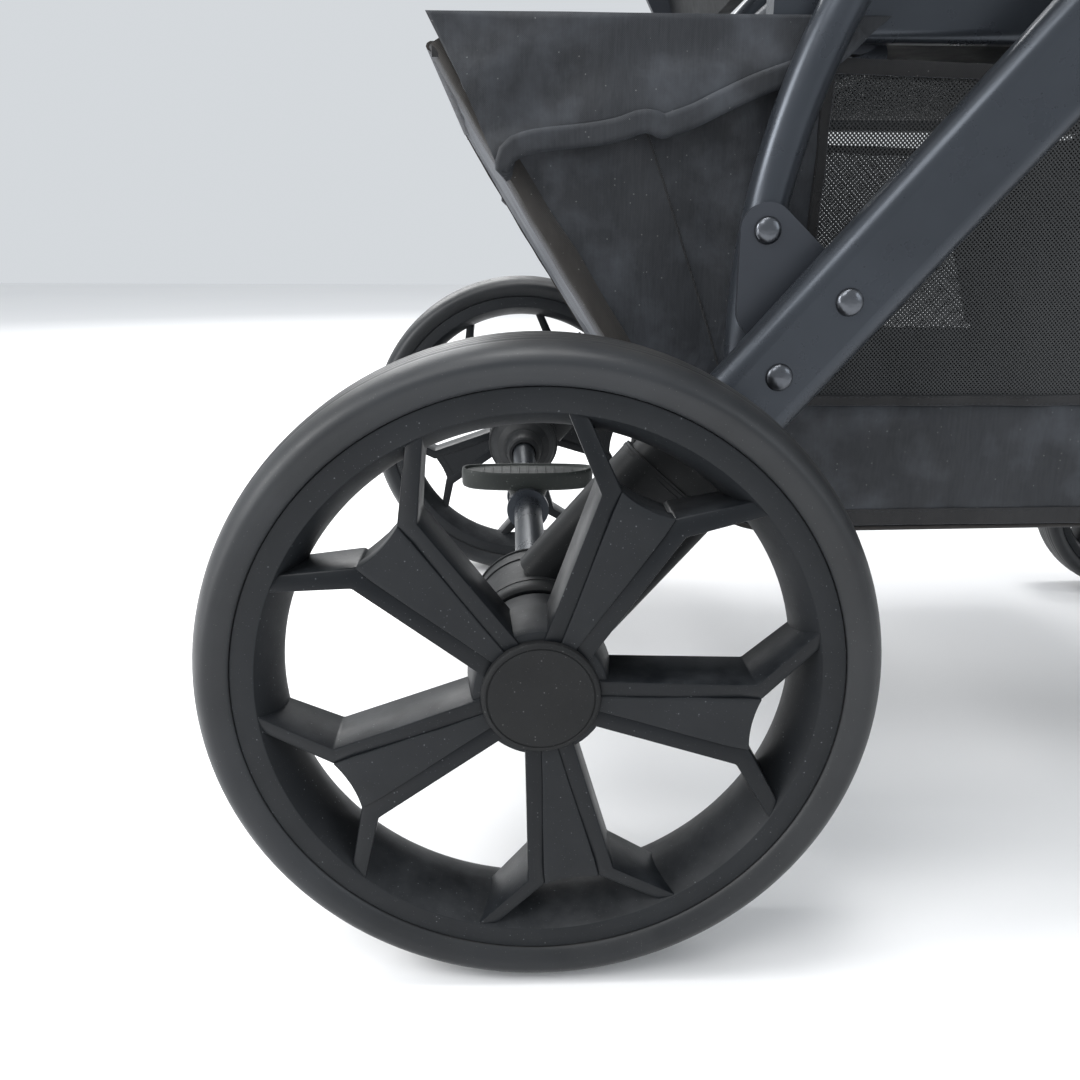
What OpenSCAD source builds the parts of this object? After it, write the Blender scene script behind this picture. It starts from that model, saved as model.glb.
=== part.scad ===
// Baby stroller on four wheels: large spoked rear wheels, swivel casters,
// a folding frame, a reclining seat, a folding canopy and a mesh basket.
// Design frame: X forward from the rear axle, Y to the left, Z up from the floor.

/* [Rear wheels] */
// Radius over the rear tyre
rear_r = 140; // [135:1:144]
// Width of the rear tyre
rear_w = 49; // [44:1:50]
// Distance from the centre plane to a rear wheel's mid-plane
rear_y = 266; // [266:1:270]
// Number of forked spokes in each wheel
spokes = 5; // [3:1:6]

/* [Front wheels] */
// Radius over the front tyre
front_r = 95; // [90:1:96]
// Width of the front tyre
front_w = 34; // [30:1:35]
// How far the front axle trails behind its swivel axis
trail = 30; // [24:1:32]

/* [Frame] */
// Wide side of the leg tube's section
tube_w = 40; // [36:1:40]
// Corner radius of the leg tube's section
tube_round = 8.5; // [4:0.5:9.5]
// Diameter of the curved side brace
brace_d = 19; // [16:1:19]
// Diameter of the rear axle tube
axle_d = 18; // [16:1:20]

/* [Handle] */
// Distance from the folding hinge to the push bar
handle_len = 654; // [600:2:660]
// Outer width of the foam on the push bar
foam_w = 40; // [36:1:44]

/* [Seat] */
// Half the width of the seat pan
seat_half = 150; // [140:1:150]
// Length of the backrest from its pivot
back_len = 430; // [380:5:440]
// Thickness of the seat cushion
cushion_t = 28; // [20:1:30]

/* [Canopy] */
// Radius of the rearmost canopy bow
canopy_r = 272; // [264:1:272]
// Angle from one canopy bow to the next
bow_step = 50; // [44:1:50]

/* [Basket] */
// Thickness of the basket's cloth
cloth_t = 2.4; // [2:0.2:3]

/* [Hidden] */
$fn = 64;

// the origin sits under the middle of the bounding box
center_x = (600 - trail + front_r - rear_r) / 2;

// main folding hinge
hub_x = 367;
hub_z = 563;
hub_disc = 30;
hub_pin = 8;
fit = 0.05;

// layers across the frame, as distances from the centre plane
in_0 = 186;   // front leg, inner face
in_1 = 206;   // front leg, outer face
out_0 = 208;  // rear leg and handle tube, inner face
out_1 = 228;  // rear leg and handle tube, outer face
tongue = 217.25;  // where the two outer tongues pass each other

// rear leg runs from the axle to the hinge
leg_len = sqrt(hub_x * hub_x + (hub_z - rear_r) * (hub_z - rear_r));
leg_a = atan2(hub_z - rear_r, hub_x);

// front leg runs from the hinge to the caster socket
caster_x = 600;
caster_y = 196;
front_end_z = 230;
front_len = sqrt((caster_x - hub_x) * (caster_x - hub_x) + (hub_z - front_end_z) * (hub_z - front_end_z));
front_a = atan2(front_end_z - hub_z, caster_x - hub_x);

// side brace arc
brace_x = 397;
brace_z = 273;
brace_r = 302;
brace_y = out_0 - 3 - brace_d / 2;

// handle and canopy
handle_a = 133;
pivot_s = 230;
pivot_x = hub_x + pivot_s * cos(handle_a);
pivot_z = hub_z + pivot_s * sin(handle_a);
corner_r = 54;

// backrest
back_x = 130;
back_z = 430;
back_a = 107;

// ---------- helpers ----------

// moves a piece from the design frame to the stored frame
module at_frame() {
    translate([-center_x, 0, 0]) children();
}

// right side (y < 0) as drawn, left side mirrored
module on_side(left) {
    if (left) mirror([0, 1, 0]) children();
    else children();
}

module both_sides() {
    children();
    mirror([0, 1, 0]) children();
}

// a shape drawn in the X-Z plane, extruded between two y values
module xz(y0, y1) {
    translate([0, y1, 0]) rotate([90, 0, 0]) linear_extrude(y1 - y0) children();
}

// a rod along Y
module y_rod(x, z, r, y0, y1) {
    translate([x, y1, z]) rotate([90, 0, 0]) cylinder(r = r, h = y1 - y0);
}

// rectangle with rounded corners, centred
module round_rect(w, h, r) {
    square([w - 2 * r, h], center = true);
    square([w, h - 2 * r], center = true);
    for (i = [-1, 1], j = [-1, 1])
        translate([i * (w / 2 - r), j * (h / 2 - r)]) circle(r = r);
}

// bar from s0 to s1 along the direction a, starting at x, z; wide side w, thickness t across Y
module bar(x, z, a, s0, s1, w, t, r, y) {
    translate([x, y, z]) rotate([0, -a, 0]) translate([s0, 0, 0]) rotate([0, 90, 0])
        linear_extrude(s1 - s0) round_rect(w, t, r);
}

// 2D strip with round ends
module strip(x0, z0, x1, z1, r) {
    translate([x0, z0]) circle(r = r);
    translate([x1, z1]) circle(r = r);
    translate([x0, z0]) rotate(atan2(z1 - z0, x1 - x0))
        translate([0, -r]) square([norm([x1 - x0, z1 - z0]), 2 * r]);
}

// a point on the rear leg: s along it, n to its upper rear side
function leg_x(s, n) = s * cos(leg_a) - n * sin(leg_a);
function leg_z(s, n) = rear_r + s * sin(leg_a) + n * cos(leg_a);

// a point on the canopy: angle a, radius r
function can_x(a, r) = pivot_x + r * cos(a);
function can_z(a, r) = pivot_z + r * sin(a);

// ---------- rear frame ----------

module rear_leg_body() {
    difference() {
        union() {
            bar(0, rear_r, leg_a, 36, leg_len - 34, tube_w, 20, tube_round, -(out_0 + out_1) / 2);
            xz(-out_1, -tongue - 0.25) {
                translate([hub_x, hub_z]) circle(r = hub_disc);
                translate([hub_x, hub_z]) rotate(leg_a + 180) translate([0, -18]) square([36, 36]);
            }
        }
        y_rod(hub_x, hub_z, hub_pin + fit, -out_1 - 1, -out_0 + 1);
    }
}

module rear_leg_r() {
    color("dimgray") at_frame() rear_leg_body();
}

module rear_leg_l() {
    color("dimgray") at_frame() on_side(true) rear_leg_body();
}

// moulded knuckle that joins the leg, the axle tube and the wheel's stub
pin_a = leg_a + 180;
pin_ring = 22;

module knuckle_body() {
    difference() {
        union() {
            y_rod(0, rear_r, 29.5, -236, -190);
            translate([0, -172, rear_r]) rotate([90, 0, 0]) rotate_extrude()
                polygon([[0, 0], [11.5, 0], [17.5, 2.5], [22.5, 6.5], [26.5, 12], [29.5, 19], [0, 19]]);
            y_rod(0, rear_r, 18, -242, -236);
            bar(0, rear_r, leg_a, 20, 93, 54, 29, 12, -218);
            bar(0, rear_r, leg_a, 92, 104, 48, 25, 10, -218);
        }
        bar(0, rear_r, leg_a, 36, 140, tube_w, 20, tube_round, -218);
        y_rod(pin_ring * cos(pin_a), rear_r + pin_ring * sin(pin_a), 3.5 + fit, -240, -204);
    }
}

module knuckle_r() {
    color("#222426") at_frame() knuckle_body();
}

module knuckle_l() {
    color("#222426") at_frame() on_side(true) knuckle_body();
}

// flat plates riveted to the leg that carry the brace
module gusset_body() {
    xz(-out_0, -out_0 + 3) {
        strip(leg_x(156, 0), leg_z(156, 0), leg_x(197, 0), leg_z(197, 0), 11);
        strip(leg_x(197, 0), leg_z(197, 0), 98, 317, 11.5);
        strip(98, 317, 98.5, 284, 11.5);
        strip(leg_x(468, 0), leg_z(468, 0), leg_x(500, 0), leg_z(500, 0), 11);
        strip(leg_x(500, 0), leg_z(500, 0), 290, 555, 11.5);
    }
}

module gussets() {
    color("#3a3c3e") at_frame() both_sides() gusset_body();
}

module brace_body() {
    translate([brace_x, -brace_y, brace_z]) rotate([90, 0, 0])
        rotate_extrude(angle = 76, start = 108.5, $fn = 96)
            translate([brace_r, 0]) circle(d = brace_d);
}

module brace_r() {
    color("#55585a") at_frame() brace_body();
}

module brace_l() {
    color("#55585a") at_frame() on_side(true) brace_body();
}

// cross tube between the knuckles, and the stubs that the wheels turn on
module axle_tube() {
    color("#45484a") at_frame() {
        y_rod(0, rear_r, axle_d / 2, -172, 172);
        both_sides() {
            y_rod(0, rear_r, 6, -286, -242);
            difference() {
                y_rod(0, rear_r, 14, -20, -15);
                y_rod(0, rear_r, axle_d / 2, -21, -14);
            }
        }
    }
}

// domed rivet heads on the legs and plates
module dome(x, z, y, d, h) {
    translate([x, y, z]) rotate([90, 0, 0])
        rotate_extrude($fn = 32)
            polygon([[0, 0], [d / 2, 0], [d / 2, h * 0.35], [d * 0.36, h * 0.8], [d * 0.18, h], [0, h]]);
}

module frame_rivets() {
    color("#2c2d30") at_frame() both_sides() {
        dome(leg_x(156, 0), leg_z(156, 0), -out_1, 11.5, 3.2);
        dome(leg_x(197, 0), leg_z(197, 0), -out_1, 11.5, 3.2);
        dome(98, 317, -out_0, 11.5, 3.2);
        dome(leg_x(468, 0), leg_z(468, 0), -out_1, 11.5, 3.2);
        dome(leg_x(500, 0), leg_z(500, 0), -out_1, 11.5, 3.2);
        dome(290, 555, -out_0, 11.5, 3.2);
    }
}

// ---------- wheels ----------

// wheel coordinates: X forward, Y up, Z outboard
module wheel_at(x, y, z) {
    translate([x, -y, z]) rotate([90, 0, 0]) children();
}

module tyre(r, w, seat) {
    h = w / 2;
    rotate_extrude($fn = 96)
        polygon([
            [seat, -h * 0.7], [r * 0.879, -h * 0.7], [r * 0.879, -h * 0.84], [r * 0.907, -h * 0.95],
            [r * 0.936, -h], [r * 0.961, -h * 0.94], [r * 0.982, -h * 0.76], [r * 0.995, -h * 0.49],
            [r, -h * 0.2], [r, h * 0.2], [r * 0.995, h * 0.49], [r * 0.982, h * 0.76],
            [r * 0.961, h * 0.94], [r * 0.936, h], [r * 0.907, h * 0.95], [r * 0.879, h * 0.84],
            [r * 0.879, h * 0.7], [seat, h * 0.7]
        ]);
}

// forked spoke: a wedge that widens outward and splits into two arms
module spoke_outline(k) {
    polygon([
        [18, -9.6], [84 * k, -18.2 * k], [109.8 * k, -48.8 * k], [112.1 * k, -42 * k],
        [88.3 * k, -11.3 * k], [85.6 * k, -5 * k], [84.8 * k, 0], [85.6 * k, 5 * k],
        [88.3 * k, 11.3 * k], [112.1 * k, 42 * k], [109.8 * k, 48.8 * k],
        [84 * k, 18.2 * k], [18, 9.6]
    ]);
}

module spoke_pocket(k) {
    polygon([[29, -3.1], [92 * k, -11.8 * k], [92 * k, 11.8 * k], [29, 3.1]]);
}

// rim with its barrel, spokes and hub
module rim(r, w, seat, hub_r, hub_in, bore, slots) {
    k = r / 140;
    face = w * 0.42;
    difference() {
        union() {
            rotate_extrude($fn = 96)
                polygon([
                    [seat, -w * 0.35], [r * 0.879, -w * 0.35], [r * 0.879, -face], [r * 0.807, -face],
                    [r * 0.757, 0], [r * 0.807, face], [r * 0.879, face], [r * 0.879, w * 0.35],
                    [seat, w * 0.35]
                ]);
            intersection() {
                translate([0, 0, -w * 0.12]) cylinder(r = r * 0.82, h = w * 0.12 + face, $fn = 96);
                for (i = [0 : spokes - 1])
                    rotate(278.9 + i * 360 / spokes) difference() {
                        translate([0, 0, -w * 0.12]) linear_extrude(w) spoke_outline(k);
                        translate([0, 0, w * 0.24]) linear_extrude(w) spoke_pocket(k);
                    }
            }
            translate([0, 0, -hub_in]) cylinder(r = hub_r, h = hub_in + face);
        }
        translate([0, 0, -w]) cylinder(r = bore, h = 2 * w);
        for (i = [0 : slots - 1])
            rotate(pin_a + i * 30) translate([pin_ring, 0, -hub_in - 1]) cylinder(r = 4.2, h = 9.5);
    }
}

rear_seat = rear_r * 0.843;
front_seat = front_r * 0.843;

module tyre_rear_r() {
    color("#4a4947") at_frame() wheel_at(0, rear_y, rear_r) tyre(rear_r, rear_w, rear_seat);
}

module tyre_rear_l() {
    color("#4a4947") at_frame() on_side(true) wheel_at(0, rear_y, rear_r) tyre(rear_r, rear_w, rear_seat);
}

module rear_rim() {
    wheel_at(0, rear_y, rear_r) rim(rear_r, rear_w, rear_seat, 27.5, 22, 6 + fit, 12);
}

module rim_rear_r() {
    color("#232527") at_frame() rear_rim();
}

module rim_rear_l() {
    color("#232527") at_frame() on_side(true) rear_rim();
}

module wheel_cap() {
    wheel_at(0, rear_y, rear_r)
        rotate_extrude() polygon([[0, 20.58], [24, 20.58], [24, 23.4], [22.8, 24.5], [0, 24.5]]);
}

module cap_rear_r() {
    color("#2e3032") at_frame() wheel_cap();
}

module cap_rear_l() {
    color("#2e3032") at_frame() on_side(true) wheel_cap();
}

// ---------- parking brake ----------

module brake_pedal() {
    color("#2f3532") at_frame() difference() {
        union() {
            y_rod(0, rear_r, 14.5, -14.5, 14.5);
            xz(-12, 12) polygon([[-13, 144], [13, 144], [19, 158], [-19, 158]]);
            xz(-15.5, 15.5) {
                strip(-38, 160.5, 38, 160.5, 3.5);
                strip(-42, 162, -36, 162, 3.4);
                strip(42, 162, 36, 162, 3.4);
            }
        }
        y_rod(0, rear_r, axle_d / 2 + fit, -30, 30);
    }
}

module brake_pin_body() {
    y_rod(pin_ring * cos(pin_a), rear_r + pin_ring * sin(pin_a), 3.5, -242.5, -214);
}

module brake_pin_r() {
    color("silver") at_frame() brake_pin_body();
}

module brake_pin_l() {
    color("silver") at_frame() on_side(true) brake_pin_body();
}

// ---------- front frame ----------

module front_leg_body() {
    difference() {
        union() {
            bar(hub_x, hub_z, front_a, 20, 355, tube_w, 20, tube_round, -(in_0 + in_1) / 2);
            y_rod(hub_x, hub_z, 34, -in_1, -in_0);
        }
        y_rod(hub_x, hub_z, hub_pin, -in_1 - 1, -in_0 + 1);
    }
}

module front_leg_r() {
    color("dimgray") at_frame() front_leg_body();
}

module front_leg_l() {
    color("dimgray") at_frame() on_side(true) front_leg_body();
}

// hinge pins with their round covers
module hub_caps() {
    color("#222426") at_frame() both_sides() {
        y_rod(hub_x, hub_z, hub_pin, -229, -in_1);
        translate([hub_x, -228.5, hub_z]) rotate([90, 0, 0]) rotate_extrude()
            polygon([[0, 0], [34, 0], [34, 5], [30, 8.5], [0, 9.5]]);
    }
}

// sockets that hold the caster stems on the ends of the front legs
module front_knuckles() {
    color("#222426") at_frame() both_sides() difference() {
        union() {
            translate([caster_x, -caster_y, 212]) cylinder(r = 20, h = 50);
            bar(hub_x, hub_z, front_a, 318, 396, 48, 28, 12, -caster_y);
        }
        bar(hub_x, hub_z, front_a, 300, 355, tube_w, 20, tube_round, -caster_y);
        translate([caster_x, -caster_y, 211]) cylinder(r = 7 + fit, h = 45);
    }
}

foot_x = 560;
foot_z = hub_z + (foot_x - hub_x) * tan(front_a);

module cross_tubes() {
    color("#45484a") at_frame() {
        y_rod(foot_x, foot_z, 10, -182, 182);
        y_rod(150, 391.9, 8, -162.8, 162.8);
        y_rod(385, 391.9, 8, -170, 170);
    }
}

module footrest() {
    color("#222426") at_frame() difference() {
        xz(-118, 118) polygon([
            [foot_x - 6, foot_z + 15], [foot_x + 6, foot_z + 15], [foot_x + 15, foot_z + 6],
            [foot_x + 15, foot_z - 6], [foot_x + 6, foot_z - 15], [foot_x - 2, foot_z - 16],
            [foot_x - 2, 219], [foot_x + 4, 213.5], [649, 209], [651, 203], [foot_x - 4, 206.5],
            [foot_x - 10, 212], [foot_x - 10, foot_z - 13], [foot_x - 15, foot_z - 6],
            [foot_x - 15, foot_z + 6]
        ]);
        y_rod(foot_x, foot_z, 10.3, -200, 200);
    }
}

// ---------- seat ----------

module seat_rail_body() {
    bar(100, 406, 0, 0, 392, 24, 13, 5, -176.5);
    y_rod(474, 406, 10, -in_0, -182.5);
}

module seat_rail_r() {
    color("#3a3c3e") at_frame() seat_rail_body();
}

module seat_rail_l() {
    color("#3a3c3e") at_frame() on_side(true) seat_rail_body();
}

// seat board with the rod that the leg rest turns on
leg_x0 = 411;
leg_z0 = 404;

module seat_pan() {
    color("#222426") at_frame() union() {
        translate([262, 0, 400]) linear_extrude(11.8) round_rect(276, 2 * seat_half, 20);
        both_sides() xz(-seat_half, -seat_half + 10) strip(386, 405.9, leg_x0, leg_z0, 5.9);
        y_rod(leg_x0, leg_z0, 4, -seat_half + 5, seat_half - 5);
    }
}

module seat_cushion() {
    color("#2b2d30") at_frame() translate([276, 0, 412]) linear_extrude(cushion_t)
        round_rect(252, 2 * seat_half - 4, 30);
}

// plates on the seat rails and the rod that the backrest turns on
module recline_mount() {
    color("#3a3c3e") at_frame() {
        y_rod(back_x, back_z, 5, -163, 163);
        both_sides() xz(-170, -162.8) {
            strip(back_x - 12, 402, back_x, back_z, 11);
            strip(back_x + 12, 402, back_x, back_z, 11);
        }
    }
}

// side outline of the basket, from its rear rim round to its front rim
function basket_side() = [
    [-45, 391], [-9, 332], [28, 275], [88, 181], [110, 172], [440, 176], [450, 184],
    [387.5, 379.5]
];

// the same outline, drawn in by the cloth's thickness and open at the top
function basket_void() = [
    [-42, 393], [-6.7, 333.4], [30, 276.6], [89.6, 183.2], [110.8, 174.6], [439, 178.4],
    [447, 185], [384.6, 381.5]
];

module basket() {
    color("#33353a") at_frame() difference() {
        xz(-182.5, 182.5) polygon(basket_side());
        xz(-182.5 + cloth_t, 182.5 - cloth_t) polygon(basket_void());
    }
}

// cloth that hangs from the seat over the basket's rear corners
module seat_skirts() {
    color("#2b2d30") at_frame() both_sides() xz(-184.8, -183)
        polygon([
            [-50, 420], [-26, 365], [-11, 333], [24, 342], [72, 350], [112, 364], [140, 392],
            [150, 420]
        ]);
}

module bumper_sockets() {
    color("#222426") at_frame() both_sides() difference() {
        union() {
            y_rod(hub_x, hub_z, 16, -in_0, -165);
            translate([hub_x, -160, hub_z]) rotate([0, -8, 0]) translate([-14, 0, 0])
                rotate([0, 90, 0]) cylinder(r = 14, h = 66);
        }
        translate([hub_x, -160, hub_z]) rotate([0, -8, 0]) translate([8, 0, 0])
            rotate([0, 90, 0]) cylinder(r = 7.06, h = 60);
    }
}

// waist and crotch straps lying on the seat cushion
strap_z = 412 + cushion_t;

module harness_lower() {
    color("#1f2022") at_frame() {
        translate([0, 0, strap_z]) xz(-14, 14)
            polygon([[368, 0.1], [368, 2.5], [317, 2.5], [299, 9.2], [297.4, 7.2], [316, 0.1]]);
        both_sides() translate([228, -116, strap_z]) rotate(34) translate([0, 0, 0.1])
            linear_extrude(2.2) square([98, 24]);
    }
}

// harness buckle with a cup for its release button
buckle_x = 276;
buckle_z = strap_z + 0.1;

module buckle() {
    color("#1a1b1c") at_frame() difference() {
        translate([buckle_x, 0, buckle_z]) linear_extrude(16) round_rect(40, 52, 9);
        translate([buckle_x, 0, buckle_z + 6]) cylinder(r = 12.06, h = 12);
    }
}

module buckle_button() {
    color("#8a2a2a") at_frame() translate([buckle_x, 0, buckle_z + 9.5]) cylinder(r = 12, h = 7.5);
}

// ---------- casters ----------

axle_x = caster_x - trail;

module caster_fork_body() {
    translate([caster_x, -caster_y, 205]) cylinder(r = 7, h = 49);
    translate([caster_x, -caster_y, 196]) cylinder(r = 17, h = 14);
    translate([caster_x - 13, -caster_y, 203]) linear_extrude(7) round_rect(58, 52, 8);
    translate([caster_x - 13, -caster_y, 196.5]) linear_extrude(10) round_rect(50, 52, 8);
    for (s = [-1, 1])
        xz(-caster_y + s * 23 - 3, -caster_y + s * 23 + 3) {
            strip(caster_x - 12, 197, axle_x, front_r, 12);
            strip(caster_x + 1, 199, axle_x, front_r, 10);
        }
    y_rod(axle_x, front_r, 5, -caster_y - 22, -caster_y + 22);
}

module caster_fork_r() {
    color("#222426") at_frame() caster_fork_body();
}

module caster_fork_l() {
    color("#222426") at_frame() on_side(true) caster_fork_body();
}

module front_tyre_r() {
    color("#4a4947") at_frame() wheel_at(axle_x, caster_y, front_r) tyre(front_r, front_w, front_seat);
}

module front_tyre_l() {
    color("#4a4947") at_frame() on_side(true)
        wheel_at(axle_x, caster_y, front_r) tyre(front_r, front_w, front_seat);
}

module front_rim() {
    wheel_at(axle_x, caster_y, front_r) rim(front_r, front_w, front_seat, 20, 16.5, 5 + fit, 0);
}

module front_rim_r() {
    color("#232527") at_frame() front_rim();
}

module front_rim_l() {
    color("#232527") at_frame() on_side(true) front_rim();
}

// ---------- handle ----------

// local frame of the handle: origin at the hinge, X along the handle, Y across, Z square to both
module handle_frame() {
    translate([hub_x, 0, hub_z]) rotate([0, -handle_a, 0]) children();
}

module handle_side() {
    difference() {
        union() {
            bar(hub_x, hub_z, handle_a, 34, handle_len - corner_r, 30, 20, tube_round, -218);
            xz(-tongue + 0.25, -out_0 + 1) {
                translate([hub_x, hub_z]) circle(r = hub_disc);
                translate([hub_x, hub_z]) rotate(handle_a) translate([0, -13]) square([36, 26]);
            }
            handle_frame() translate([handle_len - corner_r, -218 + corner_r, 0])
                rotate_extrude(angle = 90, start = 270) translate([corner_r, 0])
                    polygon([
                        [-10, -10], [-5, -15], [5, -15], [10, -10], [10, 10], [5, 15], [-5, 15],
                        [-10, 10]
                    ]);
        }
        y_rod(hub_x, hub_z, hub_pin + fit, -out_1 - 1, -out_0 + 2);
    }
}

// stud for a cup holder on the outer face of the handle tube
module handle_tube() {
    handle_side();
    handle_frame() translate([150, -227, 0]) rotate([90, 0, 0]) cylinder(r = 5, h = 15);
}

module handle_tube_r() {
    color("dimgray") at_frame() union() handle_tube();
}

module handle_tube_l() {
    color("dimgray") at_frame() on_side(true) union() handle_tube();
}

grip_y = 218 - corner_r;

module grip_bar() {
    color("dimgray") at_frame() handle_frame()
        translate([handle_len, -grip_y, 0]) rotate([-90, 0, 0]) linear_extrude(2 * grip_y)
            round_rect(20, 30, tube_round);
}

module grip_foam() {
    color("#1f2022") at_frame() handle_frame() both_sides() difference() {
        translate([handle_len, -grip_y + 6, 0]) rotate([-90, 0, 0]) linear_extrude(grip_y - 46)
            round_rect(30, foam_w, 14.5);
        translate([handle_len, -grip_y, 0]) rotate([-90, 0, 0]) linear_extrude(2 * grip_y)
            round_rect(20, 30, tube_round);
    }
}

// housing in the middle of the push bar with the fold trigger under it
module trigger_housing() {
    color("#222426") at_frame() handle_frame() difference() {
        translate([handle_len, -38, 0]) rotate([-90, 0, 0]) linear_extrude(76)
            round_rect(34, 44, 10);
        translate([handle_len, -39, 0]) rotate([-90, 0, 0]) linear_extrude(78)
            round_rect(20, 30, tube_round);
        translate([handle_len - 20, -22.1, -8.1]) cube([9.9, 44.2, 16.2]);
    }
}

module fold_trigger() {
    color("#6a6d70") at_frame() handle_frame()
        translate([handle_len - 23, -22, -8]) cube([8, 44, 16]);
}

// ---------- canopy ----------

// a U-shaped section swept round the canopy's pivot axis, from angle a0 to a1
module canopy_sweep(a0, a1, r_in, y_half, t, r_end) {
    translate([pivot_x, 0, pivot_z]) rotate([90, 0, 0])
        rotate_extrude(angle = a1 - a0, start = a0, $fn = 96) {
            translate([r_in, y_half - t]) square([r_end - r_in - 30, t]);
            translate([r_in, -y_half]) square([r_end - r_in - 30, t]);
            translate([r_end - t, -y_half + 30]) square([t, 2 * y_half - 60]);
            for (s = [-1, 1]) translate([r_end - 30, s * (y_half - 30)]) intersection() {
                difference() {
                    circle(r = 30);
                    circle(r = 30 - t);
                }
                translate([0, s > 0 ? 0 : -31]) square([31, 31]);
            }
        }
}

// bow: a curved strip from pivot to pivot
module bow(a, half, r, t, wide) {
    da = wide / r * 28.65;
    canopy_sweep(a - da, a + da, 60, half, t, r);
    both_sides() xz(-half, -half + t) difference() {
        strip(pivot_x, pivot_z, can_x(a, 72), can_z(a, 72), 7);
        translate([pivot_x, pivot_z]) circle(r = 13.5);
    }
}

module bow_disc(half, t, bore) {
    both_sides() difference() {
        y_rod(pivot_x, pivot_z, 14, -half, -half + t);
        if (bore > 0) y_rod(pivot_x, pivot_z, bore, -half - 1, -half + t + 1);
    }
}

// rear bow, fixed to the handle, with the pins that the other bows turn on
module rear_bow() {
    color("#222426") at_frame() union() {
        bow(handle_a, 191.5, canopy_r, 3, 16);
        bow_disc(192, 4, 0);
        both_sides() {
            y_rod(pivot_x, pivot_z, 10, -out_0, -191);
            y_rod(pivot_x, pivot_z, 5, -190, -175.5);
        }
    }
}

module canopy_rear_panel() {
    color("#2b2d30") at_frame()
        canopy_sweep(handle_a - bow_step + 2, handle_a - 2.2, 17, 188.4, 1.4, canopy_r - 3.4);
}

mid_a = handle_a - bow_step;
front_bow_a = handle_a - 2 * bow_step;

module mid_bow() {
    color("#222426") at_frame() union() {
        bow(mid_a, 186, canopy_r - 5.5, 2.8, 16);
        bow_disc(186, 3, 5 + fit);
    }
}

module canopy_front_panel() {
    color("#2b2d30") at_frame()
        canopy_sweep(front_bow_a - 1, mid_a - 2.2, 17, 182.9, 1.4, canopy_r - 9);
}

module front_bow() {
    color("#222426") at_frame() union() {
        bow(front_bow_a, 180.8, canopy_r - 11, 2.8, 16);
        bow_disc(180.8, 3, 5 + fit);
    }
}

// ---------- backrest, leg rest, bumper bar ----------

module recline_brackets() {
    color("#3a3c3e") at_frame() both_sides() difference() {
        xz(-158.5, -153) {
            translate([back_x, back_z]) circle(r = 15);
            strip(back_x, back_z, back_x - 34, back_z + 62, 10);
        }
        y_rod(back_x, back_z, 5 + fit, -160, -150);
    }
}

// local frame of the backrest: X up its length, Z toward the seated child
module back_frame() {
    translate([back_x, 0, back_z]) rotate([0, -back_a, 0]) rotate([180, 0, 0]) children();
}

module back_board() {
    color("#222426") at_frame() difference() {
        union() {
            back_frame() translate([back_len / 2 + 9, 0, -8]) linear_extrude(12)
                round_rect(back_len - 18, 2 * seat_half, 24);
            both_sides() {
                y_rod(back_x, back_z, 11, -150, -138);
                xz(-150, -138) strip(back_x, back_z, back_x - 9, back_z + 30, 9);
            }
        }
        y_rod(back_x, back_z, 5 + fit, -170, 170);
    }
}

module back_pad() {
    color("#2b2d30") at_frame() back_frame()
        translate([back_len / 2 + 15, 0, 4.1]) linear_extrude(29.5)
            round_rect(back_len - 34, 2 * seat_half - 8, 34);
}

// shoulder straps lying down the front of the back pad
module shoulder_straps() {
    color("#1f2022") at_frame() back_frame() both_sides()
        translate([60, -72, 33.7]) linear_extrude(3) square([250, 34]);
}

module leg_rest() {
    color("#2b2d30") at_frame() difference() {
        union() {
            translate([leg_x0, 0, leg_z0]) rotate([0, 60, 0]) translate([92, 0, -9]) linear_extrude(18)
                round_rect(148, 270, 16);
            both_sides() xz(-134, -120) strip(leg_x0, leg_z0, leg_x0 + 11, leg_z0 - 19, 7.5);
        }
        y_rod(leg_x0, leg_z0, 4 + fit, -140, 140);
    }
}

// padded bar across the front of the seat, on plugs in its sockets
bump_l = 226;

module bumper_bar() {
    color("#1f2022") at_frame() translate([hub_x, 0, hub_z]) rotate([0, -8, 0]) {
        both_sides() {
            translate([12, -160, 0]) rotate([0, 90, 0]) cylinder(r = 7, h = 42);
            translate([53, -160, 0]) rotate([0, 90, 0]) cylinder(r = 11, h = bump_l - 53 - 50);
            translate([bump_l - 50, -110, 0])
                rotate_extrude(angle = 90, start = 270) translate([50, 0]) circle(r = 11);
        }
        translate([bump_l, 110, 0]) rotate([90, 0, 0]) cylinder(r = 11, h = 220);
    }
}

rear_leg_r();
rear_leg_l();
knuckle_r();
knuckle_l();
gussets();
brace_r();
brace_l();
axle_tube();
frame_rivets();
tyre_rear_r();
rim_rear_r();
cap_rear_r();
tyre_rear_l();
rim_rear_l();
cap_rear_l();
brake_pedal();
brake_pin_r();
brake_pin_l();
front_leg_r();
front_leg_l();
hub_caps();
front_knuckles();
cross_tubes();
footrest();
seat_rail_r();
seat_rail_l();
seat_pan();
seat_cushion();
recline_mount();
basket();
seat_skirts();
bumper_sockets();
harness_lower();
buckle();
buckle_button();
caster_fork_r();
front_tyre_r();
front_rim_r();
caster_fork_l();
front_tyre_l();
front_rim_l();
handle_tube_r();
handle_tube_l();
grip_bar();
grip_foam();
trigger_housing();
fold_trigger();
rear_bow();
canopy_rear_panel();
mid_bow();
canopy_front_panel();
front_bow();
recline_brackets();
back_board();
back_pad();
shoulder_straps();
leg_rest();
bumper_bar();
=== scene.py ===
import bpy, bmesh, math
import numpy as np
from mathutils import Matrix, Vector, noise


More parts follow.
